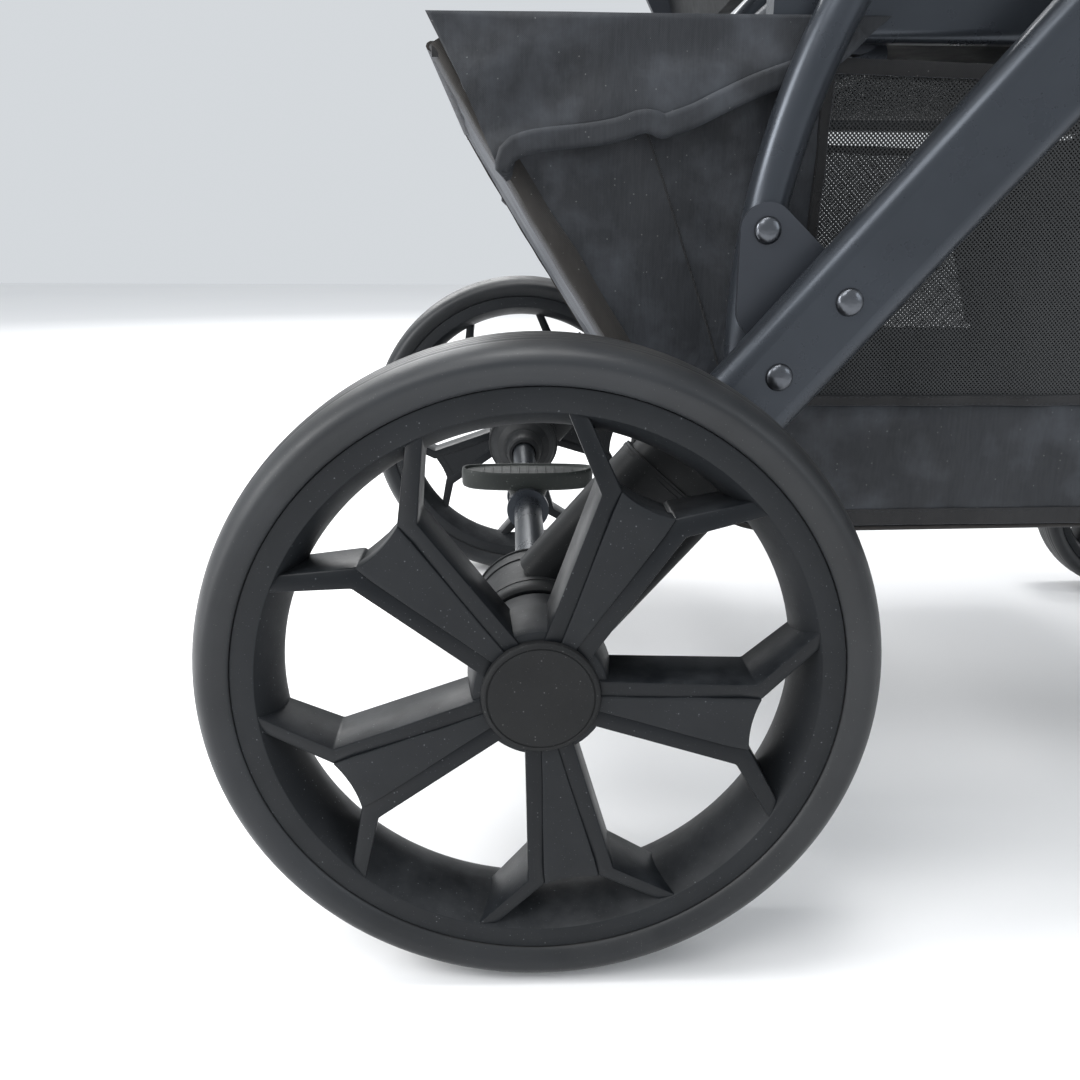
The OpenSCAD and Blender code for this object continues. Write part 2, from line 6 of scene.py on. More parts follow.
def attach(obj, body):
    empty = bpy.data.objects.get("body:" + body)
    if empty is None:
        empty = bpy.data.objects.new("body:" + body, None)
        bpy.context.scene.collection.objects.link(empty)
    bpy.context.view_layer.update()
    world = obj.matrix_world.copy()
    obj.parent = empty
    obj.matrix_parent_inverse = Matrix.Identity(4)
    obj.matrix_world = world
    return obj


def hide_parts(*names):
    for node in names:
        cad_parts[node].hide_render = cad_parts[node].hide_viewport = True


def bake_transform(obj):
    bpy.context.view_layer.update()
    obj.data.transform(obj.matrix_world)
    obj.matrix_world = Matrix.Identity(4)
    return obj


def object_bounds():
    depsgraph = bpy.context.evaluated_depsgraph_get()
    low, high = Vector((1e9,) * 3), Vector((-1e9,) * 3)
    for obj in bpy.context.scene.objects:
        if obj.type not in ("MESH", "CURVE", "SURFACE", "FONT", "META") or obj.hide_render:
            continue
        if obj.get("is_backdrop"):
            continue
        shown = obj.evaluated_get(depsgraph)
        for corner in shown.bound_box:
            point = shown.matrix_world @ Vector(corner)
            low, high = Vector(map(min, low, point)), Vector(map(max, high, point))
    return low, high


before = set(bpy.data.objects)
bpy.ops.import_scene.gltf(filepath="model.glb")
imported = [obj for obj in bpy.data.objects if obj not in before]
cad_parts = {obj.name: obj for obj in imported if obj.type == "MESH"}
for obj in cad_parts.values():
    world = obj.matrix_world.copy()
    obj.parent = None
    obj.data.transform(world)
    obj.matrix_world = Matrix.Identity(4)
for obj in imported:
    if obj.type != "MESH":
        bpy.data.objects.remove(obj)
CAD_BOX = [list(c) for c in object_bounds()]
scene = bpy.context.scene

# ---------------------------------------------------------------- frame of reference
# The design frame has X forward from the rear axle, in millimetres; the stored frame
# is the same with its origin under the middle of the box, in metres.
CX = 262.5


def metres(points):
    """Design frame in mm to the scene in metres, for one point or many."""
    return (np.asarray(points, float) - np.array([CX, 0, 0])) / 1000.0


def deg(a):
    return math.radians(a)


# Places are (x, z) in mm and angles are from the X axis. A wheel's axle is its radius above the floor.
REAR_R, FRONT_R = 140.0, 95.0
HUB = (367.0, 563.0)
LEG_A = math.atan2(HUB[1] - REAR_R, HUB[0])
HANDLE_A = deg(133)
CANOPY = (HUB[0] + 230 * math.cos(HANDLE_A), HUB[1] + 230 * math.sin(HANDLE_A))
BACK, BACK_A = (130.0, 430.0), deg(107)
LEG_HINGE, LEG_REST_A = (411.0, 404.0), deg(-60)
RIGHT, LEFT = -1, 1
SIDES = ((RIGHT, "r"), (LEFT, "l"))


def add_object(name, data):
    """A new object in the scene."""
    o = bpy.data.objects.new(name, data)
    scene.collection.objects.link(o)
    return o


# ---------------------------------------------------------------- camera
# Turn, tilt and roll in radians, focal length in picture widths, and place in metres.
CAM_YAW, CAM_PITCH, CAM_ROLL = 0.033, 0.312, 0.005
CAM_FOCAL = 941.051 / 1080.0
CAM_PLACE = (-0.274286, -0.624939, 0.314116)
SENSOR = 36.0


def make_camera():
    """A camera that looks along +Y, then is turned, tipped down and rolled."""
    level = math.cos(CAM_PITCH)
    forward = Vector((math.sin(CAM_YAW) * level, math.cos(CAM_YAW) * level, -math.sin(CAM_PITCH)))
    right = Vector((math.cos(CAM_YAW), -math.sin(CAM_YAW), 0))
    up = right.cross(forward)
    c, s = math.cos(CAM_ROLL), math.sin(CAM_ROLL)
    cam = bpy.data.cameras.new("Camera")
    cam.sensor_width = SENSOR
    cam.sensor_fit = "HORIZONTAL"
    cam.lens = CAM_FOCAL * SENSOR
    cam.clip_start = 0.01
    cam.clip_end = 60
    o = add_object("Camera", cam)
    columns = (right * c + up * s, up * c - right * s, -forward, Vector(CAM_PLACE))
    o.matrix_world = Matrix([[v[i] for v in columns] for i in range(3)] + [[0, 0, 0, 1]])
    scene.camera = o


make_camera()


# ---------------------------------------------------------------- material helpers
def times(color, k):
    """A colour made k times as bright."""
    return tuple(c * k for c in color)


class Mat:
    """A material built from a Principled shader and the nodes that feed it."""

    def __init__(self, name, **sockets):
        self.m = bpy.data.materials.new(name)
        self.m.use_nodes = True
        self.nt = self.m.node_tree
        self.nt.nodes.clear()
        out = self.node("ShaderNodeOutputMaterial")
        self.b = self.node("ShaderNodeBsdfPrincipled")
        self.put(self.b.outputs[0], out.inputs[0])
        for k, v in sockets.items():
            self.b.inputs[k.replace("_", " ")].default_value = v
        coords = self.node("ShaderNodeTexCoord")
        self.obj = coords.outputs["Object"]
        self.nrm = coords.outputs["Normal"]

    def node(self, kind, **props):
        n = self.nt.nodes.new(kind)
        for k, v in props.items():
            setattr(n, k, v)
        return n

    def put(self, value, socket):
        """Links an output to the socket, or sets it to a number or a colour."""
        if hasattr(value, "is_output"):
            self.nt.links.new(value, socket)
        else:
            socket.default_value = (*value, 1.0) if isinstance(value, tuple) else value

    def math(self, op, a, b=0.0):
        n = self.node("ShaderNodeMath", operation=op)
        self.put(a, n.inputs[0])
        self.put(b, n.inputs[1])
        return n.outputs[0]

    def mul(self, a, b):
        return self.math("MULTIPLY", a, b)

    def wave(self, value, k):
        """The sine of k times the value."""
        return self.math("SINE", self.mul(value, k))

    def noise(self, scale, detail=2.0, rough=0.5, dist=0.0, vec=None):
        n = self.node("ShaderNodeTexNoise")
        self.put(vec or self.obj, n.inputs["Vector"])
        for k, v in (("Scale", scale), ("Detail", detail), ("Roughness", rough), ("Distortion", dist)):
            n.inputs[k].default_value = v
        return n.outputs[0]

    def voronoi(self, scale, out="Distance"):
        n = self.node("ShaderNodeTexVoronoi")
        self.put(self.obj, n.inputs["Vector"])
        n.inputs["Scale"].default_value = scale
        return n.outputs[out]

    def ramp(self, value, lo, hi, a=0.0, b=1.0):
        """Maps lo..hi to a..b and holds it there beyond."""
        n = self.node("ShaderNodeMapRange", clamp=True)
        self.put(value, n.inputs["Value"])
        for k, v in (("From Min", lo), ("From Max", hi), ("To Min", a), ("To Max", b)):
            n.inputs[k].default_value = v
        return n.outputs[0]

    def mix(self, f, a, b):
        """Colour a where f is 0, colour b where it is 1."""
        n = self.node("ShaderNodeMix", data_type="RGBA")
        for value, i in ((f, 0), (a, 6), (b, 7)):
            self.put(value, n.inputs[i])
        return n.outputs[2]

    def scaled(self, sx, sy, sz):
        n = self.node("ShaderNodeMapping")
        self.put(self.obj, n.inputs["Vector"])
        n.inputs["Scale"].default_value = (sx, sy, sz)
        return n.outputs[0]

    def split(self, vector):
        """The three parts of a vector."""
        n = self.node("ShaderNodeSeparateXYZ")
        self.put(vector, n.inputs[0])
        return n.outputs

    def bump(self, height, dist, strength, under=None):
        n = self.node("ShaderNodeBump")
        n.inputs["Strength"].default_value = strength
        n.inputs["Distance"].default_value = dist
        self.put(height, n.inputs["Height"])
        if under is not None:
            self.put(under, n.inputs["Normal"])
        return n.outputs[0]

    def plane_uv(self):
        """Two coordinates lying in the surface, chosen by which way it faces."""
        at = self.split(self.obj)
        facing = [self.math("ABSOLUTE", n) for n in self.split(self.nrm)]
        isx = self.math("GREATER_THAN", facing[0], self.math("MAXIMUM", facing[1], facing[2]))
        isz = self.math("GREATER_THAN", facing[2], self.math("MAXIMUM", facing[0], facing[1]))

        def pick(f, u, v):
            return self.math("ADD", self.mul(f, v), self.mul(self.math("SUBTRACT", 1.0, f), u))
        return pick(isx, at[0], at[1]), pick(isz, at[2], at[1])

    def finish(self, color, rough, normal=None, alpha=None):
        names = ("Base Color", "Roughness", "Normal", "Alpha")
        for name, value in zip(names, (color, rough, normal, alpha)):
            if value is not None:
                self.put(value, self.b.inputs[name])
        return self.m


def upward_dust(m, lo=0.35):
    """0 to 1 on faces that look up, broken up by a patchy noise."""
    up = m.ramp(m.split(m.nrm)[2], lo, 0.95)
    return m.mul(up, m.ramp(m.noise(55, 4, 0.6), 0.35, 0.75))


def specks(m, scale=850.0, share=0.975, size=0.24):
    """Fine scattered dust specks: 1 near the middle of a few of the cells."""
    n = m.node("ShaderNodeSeparateColor")
    m.put(m.voronoi(scale, "Color"), n.inputs[0])
    keep = m.math("GREATER_THAN", n.outputs[0], share)
    return m.mul(keep, m.math("LESS_THAN", m.voronoi(scale), size))


def moulded(name, base, light, rough=(0.42, 0.60), dust=0.4, speck=0.6, spec=0.30):
    """Moulded plastic: fine grain, patchy sheen, dust on upward faces and a few specks."""
    m = Mat(name, Specular_IOR_Level=spec, IOR=1.47)
    patch = m.ramp(m.noise(22, 5, 0.62, 0.4), 0.3, 0.7)
    col = m.mix(patch, base, times(base, 1.35))
    col = m.mix(m.mul(upward_dust(m), dust), col, light)
    col = m.mix(m.mul(specks(m), speck), col, times(light, 2.6))
    fine = m.mul(specks(m, 1900.0, 0.965, 0.27), speck * 0.7)
    col = m.mix(fine, col, times(light, 2.4))
    r = m.ramp(m.noise(60, 5, 0.65), 0.25, 0.75, rough[0], rough[1])
    n = m.bump(m.noise(45, 3, 0.5), 0.00025, 0.25)
    n = m.bump(m.noise(900.0, 3, 0.55), 0.00005, 0.6, n)
    return m.finish(col, r, n)


def metal(name, base, rough, metallic, dimple=0.0):
    """Metal with cloudy tone and fine scratches; dimple is the depth of hammer marks in metres."""
    m = Mat(name, Metallic=metallic, Specular_IOR_Level=0.4)
    cloud = m.ramp(m.noise(14, 5, 0.6), 0.3, 0.7)
    col = m.mix(cloud, base, times(base, 1.22))
    col = m.mix(m.mul(upward_dust(m), 0.16), col, (0.16, 0.16, 0.155))
    scratch = m.ramp(m.noise(1.0, 4, 0.7, 0.0, m.scaled(500, 60, 90)), 0.62, 0.80)
    r = m.ramp(m.noise(70, 4, 0.6), 0.25, 0.75, rough[0], rough[1])
    r = m.math("ADD", r, m.mul(scratch, 0.04))
    n = m.bump(m.noise(650, 2, 0.5), 0.00002, 0.25)
    if dimple:
        n = m.bump(m.noise(420, 2, 0.5), dimple, 0.8, n)
    return m.finish(col, r, n)


def cloth(name, base, light, pitch=0.0011, rough=0.78, sheen=0.25, weave=0.00010, spec=0.28,
          crease_depth=0.0012, sheen_share=0.25):
    """Woven cloth: over and under threads in the surface's own plane, thread colour variation, and lighter
    patches of painted sheen.
    """
    m = Mat(name, Sheen_Weight=sheen, Sheen_Roughness=0.45, Specular_IOR_Level=spec)
    m.b.inputs["Sheen Tint"].default_value = (0.75, 0.8, 0.9, 1.0)
    u, v = m.plane_uv()
    k = 2 * math.pi / pitch
    over = m.ramp(m.mul(m.wave(u, k), m.wave(v, k)), -0.8, 0.8)
    slub = m.ramp(m.noise(1.0, 3, 0.6, 0.0, m.scaled(900, 300, 70)), 0.35, 0.75)
    tone = m.ramp(m.noise(15, 6, 0.65, 0.5), 0.3, 0.70)
    col = m.mix(m.mul(over, 0.35), base, light)
    col = m.mix(m.mul(slub, 0.20), col, light)
    col = m.mix(m.mul(tone, 0.50), col, times(base, 0.45))
    # painted sheen: lighter patches in the light tone that stand in for the soft satin highlights of the
    # cloth
    sheen_patch = m.ramp(m.noise(30, 6, 0.58, 0.15), 0.48, 0.74)
    col = m.mix(m.mul(sheen_patch, sheen_share), col, light)
    lint = m.mul(specks(m, 700.0, 0.975, 0.22), 0.35)
    col = m.mix(lint, col, (0.22, 0.22, 0.22))
    r = m.ramp(m.noise(40, 4, 0.6), 0.3, 0.7, rough - 0.07, min(1.0, rough + 0.08))
    n = m.bump(m.noise(26, 5, 0.60, 0.8), crease_depth, 0.5)
    n = m.bump(over, weave, 0.8, n)
    return m.finish(col, r, n)


def net(name, base, pitch=0.0019, hole=0.60):
    """Knitted net: rows of small holes, each row shifted by half a step."""
    m = Mat(name, Specular_IOR_Level=0.3, Sheen_Weight=0.2)
    u, v = m.plane_uv()
    k = math.pi / pitch
    a, b = (m.math("ABSOLUTE", m.wave(m.math(op, u, v), k)) for op in ("ADD", "SUBTRACT"))
    gap = m.mul(a, b)
    solid = m.math("LESS_THAN", gap, hole)
    col = m.mix(m.ramp(gap, 0.0, hole), times(base, 1.7), base)
    n = m.bump(m.ramp(gap, 0.0, hole, 1.0, 0.0), 0.00015, 0.8)
    return m.finish(col, 0.7, n, solid)


def foam(name, base):
    """Foam skin: fine pores and a cloudy tone."""
    m = Mat(name, Specular_IOR_Level=0.3, Sheen_Weight=0.1)
    col = m.mix(m.ramp(m.noise(35, 4, 0.6), 0.3, 0.7), base, times(base, 1.6))
    return m.finish(col, m.ramp(m.noise(90, 3), 0.3, 0.7, 0.72, 0.9), m.bump(m.voronoi(1500), 0.00012, 0.7))


def webbing_mat(name, base):
    """Woven strap: ribs across its width in a herringbone."""
    m = Mat(name, Specular_IOR_Level=0.35, Sheen_Weight=0.3)
    u, v = m.plane_uv()
    k = 2 * math.pi / 0.0016
    a, b = (m.wave(m.math(op, u, m.mul(v, 2.0)), k) for op in ("ADD", "SUBTRACT"))
    h = m.ramp(m.math("MAXIMUM", a, b), -0.6, 1.0)
    col = m.mix(h, base, times(base, 2.0))
    return m.finish(col, 0.62, m.bump(h, 0.00012, 0.7))


# Colours are linear: the tone itself, then the tone of what lies on it or shows through it; for cloth the
# second is also the tone of its painted sheen patches.
LOOK = {}
LOOK["plastic"] = moulded("dark_plastic", (0.0085, 0.0092, 0.0100), (0.050, 0.051, 0.052), spec=0.22)
LOOK["wheel"] = moulded("wheel_plastic", (0.0090, 0.0102, 0.0118), (0.056, 0.059, 0.063), rough=(0.44, 0.60),
                     dust=0.6, speck=0.5, spec=0.22)
LOOK["wheelgloss"] = moulded("wheel_arm_plastic", (0.0050, 0.0060, 0.0074), (0.044, 0.047, 0.051),
                          rough=(0.32, 0.46), dust=0.6, speck=0.5, spec=0.22)
LOOK["hubface"] = moulded("hub_face_plastic", (0.0078, 0.0083, 0.0088), (0.05, 0.05, 0.05),
                          rough=(0.50, 0.66), dust=0.3, speck=0.45, spec=0.22)
LOOK["pedal"] = moulded("pedal_plastic", (0.014, 0.0165, 0.0155), (0.085, 0.09, 0.086), rough=(0.40, 0.58))
LOOK["button"] = moulded("button_plastic", (0.16, 0.015, 0.013), (0.22, 0.06, 0.05), dust=0.1, speck=0.2)
LOOK["trigger"] = moulded("trigger_plastic", (0.10, 0.102, 0.105), (0.2, 0.2, 0.2), dust=0.1, speck=0.2)
LOOK["frame"] = metal("frame_metal", (0.036, 0.041, 0.049), rough=(0.24, 0.34), metallic=0.6)
LOOK["plate"] = metal("plate_metal", (0.036, 0.040, 0.048), rough=(0.34, 0.46), metallic=0.5)
LOOK["rivet"] = metal("rivet_metal", (0.085, 0.090, 0.100), rough=(0.24, 0.36), metallic=0.95, dimple=0.00022)
LOOK["pin"] = metal("pin_steel", (0.42, 0.42, 0.43), rough=(0.22, 0.34), metallic=1.0)
LOOK["seat"] = cloth("seat_fabric", (0.011, 0.012, 0.0135), (0.034, 0.036, 0.040))
# the basket cloth gets strong patches of painted sheen
LOOK["basket"] = cloth("basket_cloth", (0.0070, 0.0080, 0.0100), (0.060, 0.066, 0.077), pitch=0.0008,
                    rough=0.60, sheen=0.16, weave=0.00005, spec=0.30, crease_depth=0.0022, sheen_share=0.6)
LOOK["hem"] = cloth("hem_tape", (0.012, 0.012, 0.0125), (0.036, 0.035, 0.036), pitch=0.0009, rough=0.72)
LOOK["brown"] = cloth("edge_tape", (0.022, 0.020, 0.018), (0.050, 0.045, 0.041), pitch=0.0009, rough=0.8,
                   crease_depth=0.003)
LOOK["net"] = net("basket_net", (0.016, 0.017, 0.018))
LOOK["thread"] = cloth("thread", (0.014, 0.015, 0.017), (0.030, 0.031, 0.034), pitch=0.0006)
LOOK["foam"] = foam("grip_foam_skin", (0.016, 0.016, 0.017))
LOOK["web"] = webbing_mat("webbing", (0.014, 0.014, 0.015))


def tyre_mat():
    """Rubber with a cloudy film, blotches and a dusty tread."""
    m = Mat("tyre", Specular_IOR_Level=0.34)
    film = m.ramp(m.noise(16, 6, 0.62, 0.5), 0.3, 0.72)
    col = m.mix(film, (0.0085, 0.0095, 0.0110), (0.0155, 0.0170, 0.0190))
    blotch = m.ramp(m.noise(5, 3, 0.5, 1.2), 0.50, 0.66)
    col = m.mix(m.mul(blotch, 0.30), col, (0.034, 0.037, 0.042))
    # the tread wears to a dusty band round the crown
    crown = m.ramp(m.math("ABSOLUTE", m.split(m.nrm)[1]), 0.10, 0.48, 1.0, 0.0)
    wear = m.mul(crown, m.ramp(m.noise(28, 5, 0.65), 0.30, 0.70))
    col = m.mix(m.mul(wear, 0.55), col, (0.060, 0.057, 0.052))
    col = m.mix(m.mul(upward_dust(m, 0.3), 0.10), col, (0.075, 0.072, 0.066))
    col = m.mix(m.mul(specks(m, 1500.0, 0.97, 0.25), 0.35), col, (0.15, 0.145, 0.14))
    r = m.ramp(m.noise(30, 5, 0.6), 0.3, 0.7, 0.36, 0.54)
    n = m.bump(m.noise(30, 4, 0.5), 0.0004, 0.3)
    n = m.bump(m.noise(1300, 3, 0.6), 0.00006, 0.7, n)
    return m.finish(col, r, n)


LOOK["tyre"] = tyre_mat()


# ---------------------------------------------------------------- mesh helpers
def shade(me, sharp):
    """Smooth shading, with edges sharper than the angle left hard."""
    me.polygons.foreach_set("use_smooth", [True] * len(me.polygons))
    me.set_sharp_from_angle(angle=deg(sharp))


def clean(me, sharp=32):
    """Merges double points and turns the faces outward."""
    bm = bmesh.new()
    bm.from_mesh(me)
    bmesh.ops.remove_doubles(bm, verts=bm.verts, dist=1e-6)
    bmesh.ops.recalc_face_normals(bm, faces=bm.faces)
    bm.to_mesh(me)
    bm.free()
    shade(me, sharp)


def make(name, verts, faces, mat, body="", slot="", sharp=32):
    """A piece from points in metres; its body and slot are kept on it, and done() reads the body."""
    me = bpy.data.meshes.new(name)
    me.from_pydata([tuple(float(c) for c in v) for v in verts], [], [tuple(f) for f in faces])
    clean(me, sharp)
    me.materials.append(LOOK[mat])
    o = add_object(name, me)
    o["_slot"], o["_body"] = slot, body
    return o


def drop(o):
    """Removes an object and its mesh."""
    me = o.data
    bpy.data.objects.remove(o)
    bpy.data.meshes.remove(me)


def read_points(me):
    a = np.empty(len(me.vertices) * 3)
    me.vertices.foreach_get("co", a)
    return a.reshape(-1, 3)


def write_points(me, a):
    me.vertices.foreach_set("co", a.reshape(-1))
    me.update()


def quads(rows, cols, wrap_rows=False, wrap_cols=False, start=0):
    """Faces of a grid of points that are stored row by row."""
    faces = []
    for i in range(rows if wrap_rows else rows - 1):
        a, b = start + i * cols, start + (i + 1) % rows * cols
        for j in range(cols if wrap_cols else cols - 1):
            k = (j + 1) % cols
            faces.append((a + j, a + k, b + k, b + j))
    return faces


def band(a, b, n):
    """Faces between two rings of n points, stored from a and from b."""
    return [(a + i, a + (i + 1) % n, b + (i + 1) % n, b + i) for i in range(n)]


def end_caps(rows, cols, start=0):
    """One face over the first ring of a tube and one over its last."""
    last = start + (rows - 1) * cols
    return [tuple(range(start, start + cols)), tuple(range(last, last + cols))]


def unit(v):
    """The rows of v at length 1."""
    return v / (np.linalg.norm(v, axis=1)[:, None] + 1e-12)


def tangents(path):
    return unit(np.gradient(np.asarray(path, float), axis=0))


def left_of(path):
    """Unit vectors square to a flat path, to the left of the way it runs."""
    t = tangents(path)
    return np.column_stack([-t[:, 1], t[:, 0]])


def each(v, n):
    """The vector repeated n times, unless it is a list of vectors already."""
    v = np.asarray(v, float)
    return np.repeat(v[None], n, 0) if v.ndim == 1 else v


def bake(o):
    """Applies the modifiers."""
    dg = bpy.context.evaluated_depsgraph_get()
    me = bpy.data.meshes.new_from_object(o.evaluated_get(dg), depsgraph=dg)
    old = o.data
    o.modifiers.clear()
    o.data = me
    bpy.data.meshes.remove(old)
    return o


def modify(o, kind, **settings):
    """Adds a modifier and applies it."""
    m = o.modifiers.new(kind, kind)
    for k, v in settings.items():
        setattr(m, k, v)
    return bake(o)


def bevel(o, width, angle):
    modify(o, "BEVEL", width=width, segments=2, limit_method="ANGLE", angle_limit=deg(angle),
           harden_normals=False)
    o.data.set_sharp_from_angle(angle=deg(40))


def solidify(o, thickness):
    return modify(o, "SOLIDIFY", thickness=thickness, offset=0.0)


def join(name, objs):
    """One object out of several, keeping their materials, with the first one's body and slot."""
    verts, faces, mats, index = [], [], [], []
    for o in objs:
        me, start = o.data, len(verts)
        mats += [m for m in me.materials if m not in mats]
        of_mesh = [mats.index(m) for m in me.materials]
        verts += [tuple(v.co) for v in me.vertices]
        for p in me.polygons:
            faces.append(tuple(i + start for i in p.vertices))
            index.append(of_mesh[p.material_index])
    me = bpy.data.meshes.new(name)
    me.from_pydata(verts, [], faces)
    for m in mats:
        me.materials.append(m)
    me.polygons.foreach_set("material_index", index)
    shade(me, 34)
    joined = add_object(name, me)
    for k in ("_slot", "_body"):
        joined[k] = objs[0][k]
    for o in objs:
        drop(o)
    return joined


def done(o, *nodes):
    """Puts a finished piece on its body and hides the CAD nodes that it stands for."""
    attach(o, o["_body"])
    if nodes:
        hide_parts(*nodes)
    return o


def lathe(profile, n, centre, side, closed=True):
    """Turns (radius, outboard) pairs about an axis along Y through centre (x, y, z), in mm."""
    v = []
    for a in np.arange(n) * 2 * math.pi / n:
        c, s = math.cos(a), math.sin(a)
        v += [(centre[0] + r * c, side * (centre[1] + h), centre[2] + r * s) for r, h in profile]
    return metres(v), quads(n, len(profile), True, closed)


def spline(pts, per=6, closed=False):
    """Catmull-Rom through the points."""
    p = np.asarray(pts, float)
    n = len(p)
    out = []
    for i in range(n if closed else n - 1):
        a, b, c, d = (p[(i - 1) % n], p[i], p[(i + 1) % n], p[(i + 2) % n]) if closed else (
            p[max(i - 1, 0)], p[i], p[i + 1], p[min(i + 2, n - 1)])
        for t in np.arange(per) / per:
            out.append(0.5 * (2 * b + (c - a) * t + (2 * a - 5 * b + 4 * c - d) * t * t
                              + (3 * b - a - 3 * c + d) * t ** 3))
    if not closed:
        out.append(p[-1])
    return np.array(out)


def resample(pts, step=None, count=None):
    p = np.asarray(pts, float)
    d = np.r_[0, np.cumsum(np.linalg.norm(np.diff(p, axis=0), axis=1))]
    n = count or max(2, int(round(d[-1] / step)) + 1)
    s = np.linspace(0, d[-1], n)
    return np.column_stack([np.interp(s, d, p[:, i]) for i in range(p.shape[1])])


def sweep(path, profile, normal, caps=True, closed=False, scale=None):
    """Carries a closed 2-D profile (across, out) along a path in mm; normal is the out direction,
    one vector or one for each point."""
    p, pr = np.asarray(path, float), np.asarray(profile, float)
    n, k = len(p), len(pr)
    t = unit(np.roll(p, -1, 0) - np.roll(p, 1, 0)) if closed else tangents(p)
    nr = each(normal, n)
    nr = unit(nr - (nr * t).sum(1)[:, None] * t)
    b = np.cross(t, nr)
    sc = (np.ones(n) if scale is None else np.asarray(scale, float))[:, None, None]
    v = (p[:, None] + b[:, None] * pr[None, :, :1] * sc + nr[:, None] * pr[None, :, 1:] * sc).reshape(-1, 3)
    f = quads(n, k, closed, True)
    if caps and not closed:
        f += end_caps(n, k)
    return metres(v), f


def oval(w, h, n=12, power=2.0):
    """A rounded section w wide and h high; a higher power is squarer."""
    a = np.arange(n) * 2 * math.pi / n
    c, s = np.cos(a), np.sin(a)
    return np.column_stack([np.sign(c) * np.abs(c) ** (2 / power) * w / 2,
                            np.sign(s) * np.abs(s) ** (2 / power) * h / 2])


def strip_profile(w, t, edge=0.35, rows=5):
    """A flat strap with soft edges, lying on 0."""
    x = np.linspace(-w / 2 + edge, w / 2 - edge, rows)
    return [(-w / 2, t * 0.5)] + [(a, t) for a in x] + [(w / 2, t * 0.5)] + [(a, 0) for a in x[::-1]]


def stitches(path, normal, pitch=3.4, length=2.3, r=0.32, body="", slot="", name="s"):
    """A row of thread stitches along a path in mm, lying on the surface whose normal is given."""
    p = resample(path, pitch)
    nr = np.asarray(normal, float)
    if nr.ndim == 2 and len(nr) != len(p):
        nr = resample(nr, count=len(p))
    v, f = [], []
    # a stitch is a spindle: five rings of five points, thin at both ends
    spindle = [(-1.0, 0.15), (-0.7, 0.8), (0.0, 1.0), (0.7, 0.8), (1.0, 0.15)]
    for c, t, out in zip(p, tangents(p), unit(each(nr, len(p)))):
        b = np.cross(t, out)
        f += quads(5, 5, False, True, len(v)) + end_caps(5, 5, len(v))
        for along, q in spindle:
            rise = out * (r * 0.55 - abs(along) * r * 0.5)
            for a in range(5):
                an = a * 2 * math.pi / 5
                v.append(c + t * along * length / 2 + (b * math.cos(an) + out * math.sin(an)) * r * q + rise)
    return make(name, metres(v), f, "thread", body, slot, sharp=60)


def wob(x, y, z, s, seed=0.0):
    """Smooth repeatable noise from -1 to 1; s is its wavelength in mm."""
    return noise.noise(Vector((x / s + seed, y / s - seed, z / s + 0.37 * seed)))


def prism(poly, front, back, place):
    """Closed prism over a polygon (u, v); front and back give the heights of its faces at (u, v)."""
    n = len(poly)
    v = [place(a, b, face(a, b)) for face in (front, back) for a, b in poly]
    return v, [tuple(range(n)), tuple(range(2 * n - 1, n - 1, -1))] + band(0, n, n)


def paint(node, mat):
    """Gives a carried-over CAD node a finished material."""
    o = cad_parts[node]
    if not o.data.materials:
        o.data.materials.append(LOOK[mat])
    for s in o.material_slots:
        s.material = LOOK[mat]


# ---------------------------------------------------------------- wheels
def tyre_profile(r, w, seat, per):
    h = w / 2
    out = [(0.879, 0.70), (0.879, 0.815), (0.8835, 0.862), (0.893, 0.905), (0.907, 0.950), (0.921, 0.985),
           (0.936, 1.0), (0.949, 0.985), (0.961, 0.94), (0.972, 0.865), (0.982, 0.76), (0.990, 0.63),
           (0.9955, 0.49), (0.9985, 0.34), (1.0, 0.2), (1.0, 0.0)]
    s = spline([(a * r, b * h) for a, b in out], per)
    # fine rings round the crown
    side = [(seat + 0.2, 0.70 * h)]
    for a, b in s:
        if abs(b) < h * 0.62 and a > r * 0.98:
            a -= 0.32 * (0.5 + 0.5 * math.cos(b * 2 * math.pi / 3.3)) ** 3
        side.append((a, b))
    return side + [(a, -b) for a, b in side[-2::-1]]


def rim_ring_profile(r, w, seat):
    face, ro = w * 0.42, r * 0.879 - 0.05
    ri, rm = r * 0.807, r * 0.757
    c = 0.9
    half = [(seat, 0.35 * w), (ro, 0.35 * w), (ro, face - c), (ro - 0.35, face - 0.25), (ro - c, face),
            (ri + 1.2, face), (ri + 0.45, face - 0.22), (ri, face - c)]
    for t in np.linspace(0, 1, 12)[1:-1]:
        half.append((ri + (rm - ri) * (1 - (1 - t) ** 1.7), (face - c) * (1 - t)))
    return half + [(rm, 0.0)] + [(a, -b) for a, b in half[::-1]]


